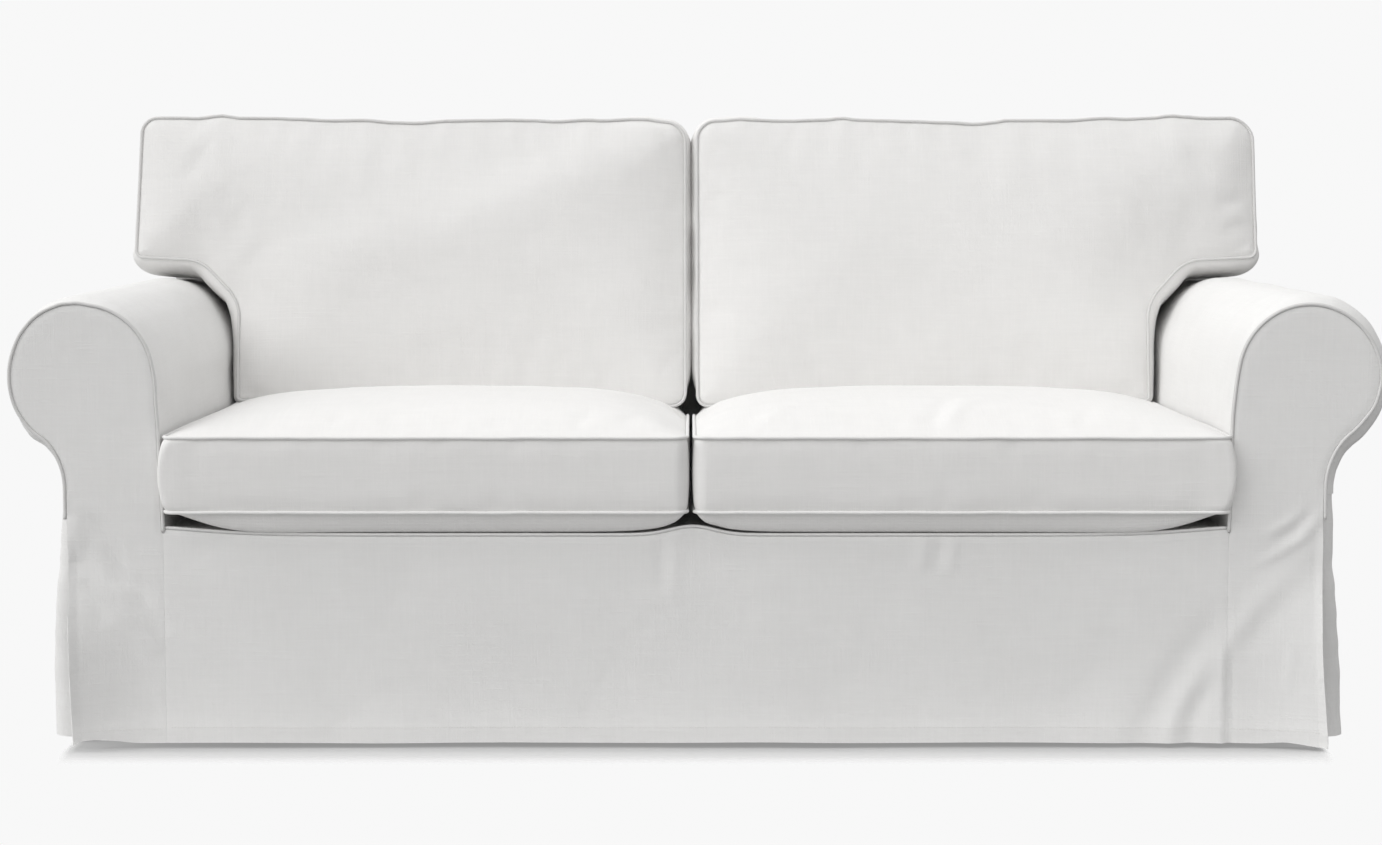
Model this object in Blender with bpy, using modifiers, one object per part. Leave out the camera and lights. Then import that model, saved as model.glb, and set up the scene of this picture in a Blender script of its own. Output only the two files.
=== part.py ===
"""Slipcover set for a two-seat roll-arm sofa: the body cover with its floor-length skirt,
two seat cushions and two back cushions whose outer wings reach over the arms.

Metres, +Z up. The front faces -Y and left is -X, as seen from the front. The origin is on the
floor under the middle of the cover. The frame that the cover fits over is no part of it: the
body cover is hollow and open at the floor.
"""
import math

import bmesh
import bpy
import numpy as np
from mathutils import Vector
from mathutils.geometry import delaunay_2d_cdt

# ---- cloth, seams and piping
CLOTH = 0.0025          # cover cloth with its seam allowances
GAP = 0.0003            # between two pieces sewn or laid together
CORD_R = 0.0028         # piping
WELT = 0.0038           # how far a seam draws the cloth in under its piping
SEAM_RUN = 0.008        # the cloth is back at its full size this far from a seam

# ---- body cover
FRONT_Y = -0.430        # plane of the arm facings and the front skirt
BACK_Y = 0.445          # plane of the outside back
HEM_Z = 0.006
DECK_Z = 0.287          # top of the seat platform and of the front skirt
ARM_IN = 0.6975         # inside of the arm at the deck, from the middle
ARM_OUT = 0.8255        # outside of the arm under its roll
ROLL_X, ROLL_Z = 0.7985, 0.4895
ROLL_RX, ROLL_RZ = 0.0918, 0.0957
ROLL_END = math.radians(-50)   # where the roll turns into its neck
NECK_SEAM_Z = 0.335     # seam between the arm cover and the outer side
SLIT_Z = 0.300          # the corner slit opens below this
SLIT_TUCK = 0.055       # side cloth that turns in behind the facing
KICK = 0.022            # the free corner of a facing stands forward at the hem

# ---- back of the body cover
LEAN = math.radians(10.5)
BACK_TOP_Z = 0.780
BACK_HALF = 0.830       # half width above the arms
BACK_CORNER_R = 0.050
BACK_FLARE = 0.008      # the outside back stands out at the hem

# ---- seat cushions
SEAT_TOP_Z = 0.4129     # top piping at the front
SEAT_DROP = 0.006       # the top piping is lower at the rear
SEAT_T = 0.098          # between the two lines of piping
SEAT_FRONT_Y, SEAT_REAR_Y = -0.445, 0.208
SEAT_CROWN, SEAT_BELLY = 0.042, 0.0275
SEAT_PRESSED = 0.0072   # what is left of the crown under the back cushion
SEAT_CORNER_R = 0.020
SEAT_PUFF, SEAT_FRONT_PUFF = 0.0022, 0.006

# ---- back cushions
CUSHION_Y, CUSHION_Z = 0.060, 0.4187   # lower front line of piping
CUSHION_T = 0.155
CUSHION_CROWN, CUSHION_REAR_CROWN = 0.026, 0.017
CUSHION_PUFF = 0.005
NOTCH_PUFF = 0.007      # beside and over the arm

# Each arm: side of the middle, how far the roll swells past its facing on top and outside,
# how far the side skirt flares, and where the facing's free corner stands at the hem.
ARMS = {
    "left": {"side": -1, "top": 0.008, "out": 0.005, "flare": 0.0275, "corner": 0.8190},
    "right": {"side": 1, "top": 0.009, "out": 0.014, "flare": 0.0380, "corner": 0.8320},
}

# Seat cushions: the two sides, from the middle.
SEATS = {"left": (-0.6940, -0.0120), "right": (0.0015, 0.6940)}

# Back cushions: corners as (across, up the lean, corner radius), from the lower inner one.
BACKS = {
    "left": [(-0.0150, 0.0000, 0.022), (-0.0155, 0.4190, 0.018), (-0.8480, 0.4250, 0.017),
             (-0.8530, 0.2035, 0.022), (-0.6945, 0.2035, 0.098), (-0.6930, 0.0000, 0.020)],
    "right": [(0.0070, 0.0000, 0.020), (0.0050, 0.4200, 0.020), (0.8550, 0.4260, 0.017),
              (0.8550, 0.2035, 0.022), (0.6910, 0.2035, 0.098), (0.6890, 0.0000, 0.020)],
}

# Waves of a back cushion's top edge: (across, rise).
TOP_WAVES = {
    "left": [(-0.85, 0.000), (-0.74, 0.003), (-0.60, 0.001), (-0.44, -0.004), (-0.28, 0.001), (0.0, 0.0)],
    "right": [(0.0, 0.000), (0.15, -0.005), (0.23, 0.003), (0.46, -0.004), (0.63, 0.003), (0.85, 0.0)],
}

# Main folds of the skirt and the facings: (x0, z0) to (x1, z1), half width, height.
FOLDS = [
    (-0.811, 0.322, -0.736, 0.263, 0.016, 0.004),
    (-0.788, 0.228, -0.701, 0.170, 0.018, 0.004),
    (0.819, 0.316, 0.727, 0.257, 0.016, 0.006),
    (0.809, 0.252, 0.690, 0.122, 0.018, 0.008),
    (0.676, 0.099, 0.578, 0.010, 0.020, 0.007),
    (0.596, 0.075, 0.633, 0.018, 0.014, 0.005),
    (-0.052, 0.270, -0.018, 0.190, 0.014, 0.002),
    (0.293, 0.270, 0.340, 0.232, 0.012, 0.002),
]

COLLECTION = "sofa_slipcover"
FABRIC = (0.83, 0.825, 0.81, 1.0)


# ---------------------------------------------------------------- numbers and outlines

def ease(value, low, high):
    """0 at low, 1 at high, level at both ends."""
    t = min(max((value - low) / (high - low), 0.0), 1.0)
    return t * t * (3.0 - 2.0 * t)


def wave(table, at):
    """Reads a smooth curve through a short table of (place, height)."""
    for (x0, h0), (x1, h1) in zip(table, table[1:]):
        if x0 <= at <= x1:
            return h0 + (h1 - h0) * ease(at, x0, x1)
    return 0.0


def arc(cx, cz, rx, rz, start, end, steps):
    angles = np.linspace(start, end, steps + 1)
    return [(cx + rx * math.cos(a), cz + rz * math.sin(a)) for a in angles]


def rounded(corners, steps=3):
    """A closed outline through (x, y, radius) corners, each rounded by an arc."""
    outline = []
    count = len(corners)
    for i in range(count):
        here = Vector(corners[i][:2])
        to_last = (Vector(corners[i - 1][:2]) - here).normalized()
        to_next = (Vector(corners[(i + 1) % count][:2]) - here).normalized()
        half = to_last.angle(to_next) / 2
        radius = corners[i][2]
        bisector = (to_last + to_next).normalized()
        centre = here + bisector * (radius / math.sin(half))
        start = here + to_last * (radius / math.tan(half)) - centre
        sweep = start.angle_signed(here + to_next * (radius / math.tan(half)) - centre)
        for k in range(steps + 1):
            turn = -sweep * k / steps
            outline.append((centre.x + start.x * math.cos(turn) - start.y * math.sin(turn),
                            centre.y + start.x * math.sin(turn) + start.y * math.cos(turn)))
    return outline


def divided(outline, step, closed=True):
    """The outline with points added so that no stretch is longer than step."""
    result = []
    ends = outline[1:] + outline[:1] if closed else outline[1:]
    for start, end in zip(outline, ends):
        parts = max(1, math.ceil(math.dist(start, end) / step))
        for k in range(parts):
            result.append((start[0] + (end[0] - start[0]) * k / parts,
                           start[1] + (end[1] - start[1]) * k / parts))
    return result if closed else result + [outline[-1]]


def shifted(outline, amounts, closed=True):
    """Moves each point to the left of the way the outline runs, by its own amount."""
    count = len(outline)
    moved = []
    for i in range(count):
        last = outline[i - 1] if closed or i > 0 else outline[i]
        following = outline[(i + 1) % count] if closed or i < count - 1 else outline[i]
        dx, dy = following[0] - last[0], following[1] - last[1]
        length = math.hypot(dx, dy)
        amount = amounts[i] if isinstance(amounts, list) else amounts
        moved.append((outline[i][0] - dy / length * amount, outline[i][1] + dx / length * amount))
    return moved


def anticlockwise(outline):
    area = sum(a[0] * b[1] - b[0] * a[1] for a, b in zip(outline, outline[1:] + outline[:1]))
    return outline if area > 0 else outline[::-1]


# ---------------------------------------------------------------- meshes

def collection():
    made = bpy.data.collections.get(COLLECTION)
    if made is None:
        made = bpy.data.collections.new(COLLECTION)
        bpy.context.scene.collection.children.link(made)
    return made


def fabric(name):
    material = bpy.data.materials.new(name)
    material.use_nodes = True
    shader = material.node_tree.nodes["Principled BSDF"]
    shader.inputs["Base Color"].default_value = FABRIC
    shader.inputs["Roughness"].default_value = 0.9
    shader.inputs["Metallic"].default_value = 0.0
    return material


def add_object(name, data):
    made = bpy.data.objects.new(name, data)
    data.materials.append(fabric(name + "_cloth"))
    collection().objects.link(made)
    return made


def fill(outline, spacing):
    """Triangles inside a closed outline, with evenly spread points between its sides."""
    points = [Vector(p) for p in outline]
    xs, ys = [p[0] for p in outline], [p[1] for p in outline]
    row_height = spacing * math.sqrt(3) / 2
    for row in range(int((max(ys) - min(ys)) / row_height) + 1):
        y = min(ys) + row * row_height
        for col in range(int((max(xs) - min(xs)) / spacing) + 1):
            x = min(xs) + (col + 0.5 * (row % 2)) * spacing
            if inside(outline, x, y) and distance(outline, x, y) > 0.55 * spacing:
                points.append(Vector((x, y)))
    verts, _, faces, _, _, _ = delaunay_2d_cdt(points, [], [list(range(len(outline)))], 1, 1e-7)
    return [(v.x, v.y) for v in verts], [list(f) for f in faces]


def inside(outline, x, y):
    odd = False
    for (ax, ay), (bx, by) in zip(outline, outline[1:] + outline[:1]):
        if (ay > y) != (by > y) and x < ax + (y - ay) / (by - ay) * (bx - ax):
            odd = not odd
    return odd


def distance(outline, x, y):
    """From a point to the nearest side of the outline."""
    best = math.inf
    for (ax, ay), (bx, by) in zip(outline, outline[1:] + outline[:1]):
        dx, dy = bx - ax, by - ay
        t = ((x - ax) * dx + (y - ay) * dy) / max(dx * dx + dy * dy, 1e-12)
        t = min(max(t, 0.0), 1.0)
        best = min(best, math.hypot(x - ax - t * dx, y - ay - t * dy))
    return best


def swelling(points, faces, outline):
    """How far cloth blown up over the outline stands, 0 at the seam and 1 at its highest."""
    count = len(points)
    matrix = np.zeros((count, count))
    for face in faces:
        for a, b in zip(face, face[1:] + face[:1]):
            matrix[a, b] = matrix[b, a] = -1.0
    np.fill_diagonal(matrix, -matrix.sum(axis=1))
    free = [i for i, (x, y) in enumerate(points) if distance(outline, x, y) > 1e-5]
    height = np.zeros(count)
    height[free] = np.linalg.solve(matrix[np.ix_(free, free)], np.ones(len(free)))
    return (height / height.max()) ** 0.62


def cloth_from_mesh(name, mesh, hollow_side):
    """Turns the show side away from hollow_side and gives the sheet its thickness behind it."""
    inner = Vector(hollow_side)
    facing = sum((f.center - inner).normalized().dot(f.normal) * f.area for f in mesh.polygons)
    if facing < 0:
        mesh.flip_normals()
    mesh.shade_smooth()
    made = add_object(name, mesh)
    thickness = made.modifiers.new("cloth", "SOLIDIFY")
    thickness.thickness = CLOTH
    thickness.offset = -1.0
    thickness.use_even_offset = True
    return made


def grid_cloth(name, rows, hollow_side):
    """A sheet over rows of points. None leaves a hole in the grid, for a cut-out."""
    bm = bmesh.new()
    verts = [[bm.verts.new(p) if p is not None else None for p in row] for row in rows]
    for low, high in zip(verts, verts[1:]):
        for k in range(len(low) - 1):
            corners = (low[k], low[k + 1], high[k + 1], high[k])
            if all(corners):
                bm.faces.new(corners)
    mesh = bpy.data.meshes.new(name)
    bm.to_mesh(mesh)
    bm.free()
    return cloth_from_mesh(name, mesh, hollow_side)


def flat_cloth(name, outline, spacing, place, hollow_side):
    """A sheet cut to an outline in the plane and put in its place by place(a, b)."""
    points, faces = fill(anticlockwise(outline), spacing)
    mesh = bpy.data.meshes.new(name)
    mesh.from_pydata([place(a, b) for a, b in points], [], faces)
    return cloth_from_mesh(name, mesh, hollow_side)


def piping(name, route, closed):
    """Piping cord along a route."""
    curve = bpy.data.curves.new(name, "CURVE")
    curve.dimensions = "3D"
    curve.bevel_depth = CORD_R
    curve.bevel_resolution = 1
    curve.use_fill_caps = True
    spline = curve.splines.new("POLY")
    spline.points.add(len(route) - 1)
    for point, place in zip(spline.points, route):
        point.co = (*place, 1.0)
    spline.use_cyclic_u = closed
    return add_object(name, curve)


def cushion(name, outline, spacing, thickness, crowns, puff, place):
    """A filled cushion: two crowned faces joined by a boxing that draws in at its two seams.

    place(a, b, depth) puts a point of the outline's plane, at a depth behind the front piping.
    crowns are the front and the rear one, each a function of (a, b, swelling).
    """
    outline = anticlockwise(outline)
    puffs = [puff(a, b) for a, b in outline]
    rings = [(shifted(outline, WELT), 0.0),
             (outline, SEAM_RUN),
             (shifted(outline, [-p for p in puffs]), thickness / 2),
             (outline, thickness - SEAM_RUN),
             (shifted(outline, WELT), thickness)]
    bm = bmesh.new()
    verts = [[bm.verts.new(place(a, b, depth)) for a, b in ring] for ring, depth in rings]
    count = len(outline)
    for near, far in zip(verts, verts[1:]):
        for k in range(count):
            after = (k + 1) % count
            bm.faces.new((near[k], near[after], far[after], far[k]))
    seam = rings[0][0]
    points, faces = fill(seam, spacing)
    swell = swelling(points, faces, seam)
    for depth, outward, crown in ((0.0, -1, crowns[0]), (thickness, 1, crowns[1])):
        face_verts = [bm.verts.new(place(a, b, depth + outward * crown(a, b, h)))
                      for (a, b), h in zip(points, swell)]
        for face in faces:
            bm.faces.new([face_verts[i] for i in face])
    bmesh.ops.remove_doubles(bm, verts=bm.verts, dist=0.00002)
    bmesh.ops.recalc_face_normals(bm, faces=bm.faces)
    mesh = bpy.data.meshes.new(name)
    bm.to_mesh(mesh)
    bm.free()
    mesh.shade_smooth()
    add_object(name, mesh)
    for end, depth in (("front", 0.0), ("rear", thickness)):
        piping(f"{name}_piping_{end}", [place(a, b, depth) for a, b in outline], True)


# ---------------------------------------------------------------- shape of the body cover

def arm_section():
    """The arm from the deck over the roll to the slit, as (out from the middle, up)."""
    roll = arc(ROLL_X, ROLL_Z, ROLL_RX, ROLL_RZ, math.pi, ROLL_END, 15)
    end_x, end_z = roll[-1]
    turn = math.atan2(ROLL_RX * math.sin(-ROLL_END), ROLL_RZ * math.cos(ROLL_END))
    neck_r = (end_x - ARM_OUT) / (1 - math.cos(turn))
    neck_z = end_z - neck_r * math.sin(turn)
    neck = arc(ARM_OUT + neck_r, neck_z, neck_r, neck_r, math.pi - turn, math.pi, 4)
    inner = [(ARM_IN, DECK_Z + GAP), (0.7 * ARM_IN + 0.3 * roll[0][0], 0.35), (roll[0][0], 0.43)]
    return inner + roll + neck[1:]


def back_plane_y(z):
    """The show side of the inside back, which leans like the cushions before it."""
    clear = (CUSHION_T + CUSHION_REAR_CROWN + 0.0007) / math.cos(LEAN)
    return CUSHION_Y + (z - CUSHION_Z) * math.tan(LEAN) + clear


def outside_back_y(z):
    return BACK_Y + BACK_FLARE * max(NECK_SEAM_Z - z, 0.0) / NECK_SEAM_Z


def front_y(x, z):
    """The front of the facings and the skirt: the kicked corners, soft waves and main folds."""
    out = abs(x)
    y = FRONT_Y - KICK * ease(out, 0.735, 0.822) * ease(-z, -0.27, -HEM_Z)
    y -= 0.0015 * math.sin(9.0 * x + 0.6) * ease(-z, -0.26, -0.05)
    if z > DECK_Z + 0.04:
        return FRONT_Y
    for x0, z0, x1, z1, width, height in FOLDS:
        dx, dz = x1 - x0, z1 - z0
        along = ((x - x0) * dx + (z - z0) * dz) / (dx * dx + dz * dz)
        t = min(max(along, 0.0), 1.0)
        across = math.hypot(x - x0 - t * dx, z - z0 - t * dz)
        sewn_flat = 0.2 + 0.8 * ease(abs(out - ARM_IN), 0.0, 0.03)
        y -= height * math.exp(-(across / width) ** 2) * ease(DECK_Z + 0.04 - z, 0.0, 0.03) * sewn_flat
    return y


def side_x(arm, z):
    """The outer side below the roll, which flares towards the hem."""
    return ARM_OUT + arm["flare"] * (1 - math.exp(-max(NECK_SEAM_Z - z, 0.0) / 0.08))


def arm_facing(side, arm):
    sign = arm["side"]
    section = shifted(arm_section(), -WELT, closed=False)
    outer = [(ARM_OUT - WELT, SLIT_Z), (ARM_OUT, SLIT_Z - 0.006), (ARM_OUT - 0.001, 0.13)]
    hem = [(arm["corner"], 0.001), (0.5 * (arm["corner"] + ARM_IN), 0.004), (ARM_IN, HEM_Z)]
    outline = section + outer + hem + [(ARM_IN, DECK_Z - 0.002)]

    def place(out, z):
        return (sign * out, front_y(sign * out, z), z)

    flat_cloth(f"arm_facing_{side}", divided(outline, 0.045), 0.040, place,
               (sign * 0.77, 0.0, 0.3))


def arm_cover(side, arm):
    """Inside arm, roll and neck in one length of cloth, cut out behind for the back."""
    sign = arm["side"]
    section = arm_section() + [(ARM_OUT, NECK_SEAM_Z + GAP)]
    front = FRONT_Y + CLOTH + GAP
    rear = BACK_Y - CLOTH - GAP
    stations = [front, FRONT_Y + SEAM_RUN, FRONT_Y + 0.035, -0.30, -0.18, -0.06, 0.06, 0.16, None]
    behind = [0.37, rear]
    rows = []
    for i, (out, z) in enumerate(section):
        normal_x, normal_z = (p - q for p, q in zip(shifted(section, 1.0, closed=False)[i], (out, z)))
        row = []
        under_back = out < BACK_HALF - 0.004 and z > ROLL_Z or i < len(section) / 2 and z <= ROLL_Z
        for y in stations + behind:
            if y in behind and under_back:
                row.append(None)
                continue
            y = back_plane_y(z) + CLOTH if y is None else y
            if y == front:
                swell = -WELT
            else:
                settled = ease(y, front, FRONT_Y + 0.05) * (1 - ease(y, 0.09, 0.21))
                up = max(normal_z, 0.0) * arm["top"]
                outward = max(normal_x, 0.0) * arm["out"] * ease(z, 0.36, 0.46)
                swell = settled * (up + outward)
            row.append((sign * (out + normal_x * swell), y, z + normal_z * swell))
        rows.append(row)
    grid_cloth(f"arm_cover_{side}", rows, (sign * 0.785, 0.0, 0.43))


def arm_side(side, arm):
    """Outer side from the neck seam to the hem. Its front edge turns in behind the facing."""
    sign = arm["side"]
    heights = [HEM_Z, 0.05, 0.10, 0.15, 0.20, 0.24, 0.27, SLIT_Z, NECK_SEAM_Z]
    rows = []
    for z in heights:
        slack = ease(-z, -SLIT_Z, -0.20)
        out = side_x(arm, z)
        closed_edge = [(ARM_OUT - WELT, FRONT_Y + CLOTH + GAP), (ARM_OUT, FRONT_Y + SEAM_RUN),
                       (out, FRONT_Y + 0.022), (out, FRONT_Y + 0.045)]
        open_edge = [(out - SLIT_TUCK, FRONT_Y + 0.010), (out - 0.020, FRONT_Y + 0.013),
                     (out - 0.004, FRONT_Y + 0.024), (out, FRONT_Y + 0.045)]
        row = []
        for (cx, cy), (ox, oy) in zip(closed_edge, open_edge):
            row.append((sign * (cx + (ox - cx) * slack), cy + (oy - cy) * slack, z))
        rear = outside_back_y(z) - CLOTH - GAP
        for y in (-0.28, -0.14, 0.0, 0.14, 0.28, rear):
            sway = 0.004 * math.sin(14.0 * y + 1.0) * ease(-z, -0.28, 0.0) * (y < rear)
            row.append((sign * (out + sway), y, z))
        rows.append(row)
    grid_cloth(f"arm_side_{side}", rows, (sign * 0.70, 0.05, 0.2))


def front_skirt():
    half = ARM_IN - 2 * GAP
    rows = []
    for z in (HEM_Z, 0.03, 0.06, 0.095, 0.13, 0.17, 0.21, 0.25, DECK_Z - 0.0025):
        row = []
        for x in np.linspace(-half, half, 30):
            hem = 0.002 * math.sin(7.0 * x + 1.0) * (z == HEM_Z)
            row.append((x, front_y(x, z), z + hem * (abs(x) < half - 0.01)))
        rows.append(row)
    grid_cloth("front_skirt", rows, (0.0, 0.0, 0.15))


def seat_deck():
    half = ARM_IN + CLOTH - GAP
    rear = back_plane_y(DECK_Z) - GAP
    rows = [[(x, y, DECK_Z) for x in np.linspace(-half, half, 6)]
            for y in (FRONT_Y + 0.0075, -0.25, 0.0, rear)]
    grid_cloth("seat_deck", rows, (0.0, 0.0, 0.1))


def back_head(half, top):
    """The back above the arms, from the right shoulder over the top to the left one."""
    r = BACK_CORNER_R
    right = arc(half - r, top - r, r, r, 0.0, math.pi / 2, 4)
    return right + [(-x, z) for x, z in reversed(right)]


def roll_top_z(out, clear):
    """Height of the roll's upper side at a distance from the middle."""
    return ROLL_Z + (ROLL_RZ + clear) * math.sqrt(1 - ((out - ROLL_X) / (ROLL_RX + clear)) ** 2)


def inside_back():
    """Between the arms from the deck up, and above them out to the shoulders."""
    beside_arm = shifted(arm_section(), 2 * GAP, closed=False)
    right = [(x, z) for x, z in beside_arm if x < BACK_HALF - 0.006 and (z > ROLL_Z or x < ROLL_X)]
    right.append((BACK_HALF, roll_top_z(BACK_HALF, 4 * GAP)))
    outline = right + back_head(BACK_HALF, BACK_TOP_Z) + [(-x, z) for x, z in reversed(right)]
    flat_cloth("inside_back", divided(outline, 0.16), 0.15,
               lambda x, z: (x, back_plane_y(z), z), (0.0, 2.0, 0.5))


def back_band():
    """The band over the top and down the shoulders, between the inside and the outside back."""
    foot = roll_top_z(BACK_HALF, 4 * GAP)
    head = back_head(BACK_HALF, BACK_TOP_Z)
    path = [(BACK_HALF, foot)] + head + [(-BACK_HALF, foot)]
    rows = []
    for x, z in divided(path, 0.12, closed=False):
        front = back_plane_y(z) + CLOTH + GAP
        rear = BACK_Y - CLOTH - GAP
        rows.append([(x, y, z) for y in np.linspace(front, rear, 3)])
    grid_cloth("back_band", rows, (0.0, 0.38, 0.5))


def outside_back():
    """One plain panel from shoulder to shoulder, round the ends of the rolls, to the hem."""
    section = [p for p in arm_section() if p[0] > BACK_HALF or (p[1] < ROLL_Z and p[0] > ROLL_X)]
    outer = [(BACK_HALF, roll_top_z(BACK_HALF, 0.0))] + section + [(ARM_OUT, NECK_SEAM_Z)]
    outline = list(back_head(BACK_HALF, BACK_TOP_Z))
    for name in ("left", "right"):
        arm = ARMS[name]
        hem = [(side_x(arm, z), z) for z in (0.27, 0.20, 0.10, HEM_Z)]
        edge = [(arm["side"] * out, z) for out, z in outer + hem]
        outline = outline + edge if name == "left" else edge[::-1] + outline
    flat_cloth("outside_back", divided(outline, 0.16), 0.15,
               lambda x, z: (x, outside_back_y(z), z), (0.0, 0.0, 0.4))


def facing_piping(side, arm):
    sign = arm["side"]
    route = arm_section() + [(ARM_OUT, SLIT_Z + 0.012)]
    piping(f"facing_piping_{side}",
           [(sign * out, FRONT_Y + 0.5 * CLOTH, z) for out, z in route], False)


def front_edge_piping():
    half = ARM_IN - WELT
    piping("front_edge_piping", [(x, front_y(x, DECK_Z) + 0.0035, DECK_Z + 0.0008)
                                 for x in np.linspace(-half, half, 16)], False)


def body_cover():
    for side, arm in ARMS.items():
        arm_facing(side, arm)
        arm_cover(side, arm)
        arm_side(side, arm)
        facing_piping(side, arm)
    front_skirt()
    front_edge_piping()
    seat_deck()
    inside_back()
    back_band()
    outside_back()


# ---------------------------------------------------------------- cushions

def seat_cushion(side):
    x0, x1 = SEATS[side]
    r = SEAT_CORNER_R
    outline = rounded([(x0, SEAT_FRONT_Y, r), (x1, SEAT_FRONT_Y, r),
                       (x1, SEAT_REAR_Y, r), (x0, SEAT_REAR_Y, r)])

    def place(x, y, depth):
        drop = SEAT_DROP * ease(y, SEAT_FRONT_Y, 0.05) * (1 - depth / SEAT_T)
        return (x, y, SEAT_TOP_Z - depth - min(max(drop, 0.0), SEAT_DROP))

    def top(x, y, swell):
        pressed = ease(y, -0.11, 0.01)
        return swell * SEAT_CROWN * (1 - pressed) + min(swell * 3, 1.0) * SEAT_PRESSED * pressed

    def belly(x, y, swell):
        return min(swell * 2.4, 1.0) * SEAT_BELLY

    def puff(x, y):
        return SEAT_PUFF + (SEAT_FRONT_PUFF - SEAT_PUFF) * ease(-y, -SEAT_FRONT_Y - r, -SEAT_FRONT_Y)

    cushion(f"seat_cushion_{side}", divided(outline, 0.085), 0.075, SEAT_T,
            (top, belly), puff, place)


def back_cushion(side):
    outline = divided(rounded(BACKS[side]), 0.085)
    top_edge = BACKS[side][1][1]
    waved = [(x, v + wave(TOP_WAVES[side], x) * ease(v, top_edge - 0.08, top_edge))
             for x, v in outline]

    def place(x, v, depth):
        lifted = v + depth * math.tan(LEAN) * ease(-v, -0.08, 0.0)
        return (x, CUSHION_Y + lifted * math.sin(LEAN) + depth * math.cos(LEAN),
                CUSHION_Z + lifted * math.cos(LEAN) - depth * math.sin(LEAN))

    def front(x, v, swell):
        return swell * CUSHION_CROWN

    def rear(x, v, swell):
        return swell * CUSHION_REAR_CROWN

    def puff(x, v):
        beside_arm = NOTCH_PUFF * ease(v, 0.02, 0.06) * ease(-v, -0.19, -0.13) * (abs(x) > 0.60)
        return CUSHION_PUFF * ease(v, 0.30, 0.40) + 0.0015 * ease(v, 0.02, 0.06) + beside_arm

    cushion(f"back_cushion_{side}", waved, 0.085, CUSHION_T, (front, rear), puff, place)


def main():
    for old in list(bpy.data.objects):
        bpy.data.objects.remove(old, do_unlink=True)
    body_cover()
    for side in ("left", "right"):
        seat_cushion(side)
        back_cushion(side)


main()
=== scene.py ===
"""Looks of the slipcover set: the linen panels of the body cover, its piping and hems,
two seat cushions and two back cushions.

Metres, +Z up. The front faces -Y and left is -X, as seen from the front.
"""

import math

import bmesh
import bpy
import numpy as np
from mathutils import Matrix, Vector, noise
from mathutils.geometry import delaunay_2d_cdt

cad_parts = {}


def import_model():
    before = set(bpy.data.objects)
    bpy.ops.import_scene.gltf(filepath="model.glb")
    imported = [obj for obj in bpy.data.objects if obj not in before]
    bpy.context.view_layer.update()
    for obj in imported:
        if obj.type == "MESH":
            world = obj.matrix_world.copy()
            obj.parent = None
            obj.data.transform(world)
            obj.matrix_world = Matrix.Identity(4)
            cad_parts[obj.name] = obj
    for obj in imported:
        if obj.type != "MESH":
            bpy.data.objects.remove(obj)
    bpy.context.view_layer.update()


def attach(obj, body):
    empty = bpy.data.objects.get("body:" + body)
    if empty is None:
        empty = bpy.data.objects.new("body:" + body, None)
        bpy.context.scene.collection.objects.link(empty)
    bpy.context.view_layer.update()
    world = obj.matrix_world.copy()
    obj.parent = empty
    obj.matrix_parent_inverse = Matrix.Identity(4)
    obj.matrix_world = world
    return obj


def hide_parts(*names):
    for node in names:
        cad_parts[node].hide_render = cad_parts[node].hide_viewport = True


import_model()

# ---- the picture and its camera
PICTURE_WIDTH, PICTURE_HEIGHT = 1382, 845
FOCAL_PIXELS = 2313.2
LEVEL_ROW = 354.35              # row of the picture on the camera's own axis
CAMERA_TILT = math.radians(4.5)
CAMERA_PLACE = (-0.0065, -3.430, 0.7568)
SENSOR = 36.0

# ---- cloth, seams and piping
CLOTH = 0.0022
GAP = 0.0003
CORD_R = 0.0024
WELT = 0.0022           # how far a seam draws the cloth in under its piping
SEAM_RUN = 0.008        # the cloth is back at its full size this far from a seam
HEM_DEPTH = 0.024       # the double cloth of a hem
HEM_STEP = 0.0006
THREAD_R = 0.00030
STITCH, STITCH_PITCH = 0.0026, 0.0036

# ---- body cover, as its solids
FRONT_Y, BACK_Y = -0.430, 0.445
HEM_Z = 0.0068
DECK_Z = 0.287
ARM_IN, ARM_OUT = 0.6975, 0.8255
ROLL_X, ROLL_Z = 0.7985, 0.4895
ROLL_RX, ROLL_RZ = 0.0918, 0.0957
ROLL_END = math.radians(-50)
NECK_SEAM_Z = 0.335
SLIT_Z = 0.300
SLIT_TUCK = 0.055
LEAN = math.radians(10.5)
BACK_TOP_Z = 0.780
BACK_HALF = 0.830
BACK_CORNER_R = 0.050
BACK_FLARE = 0.008

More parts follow.
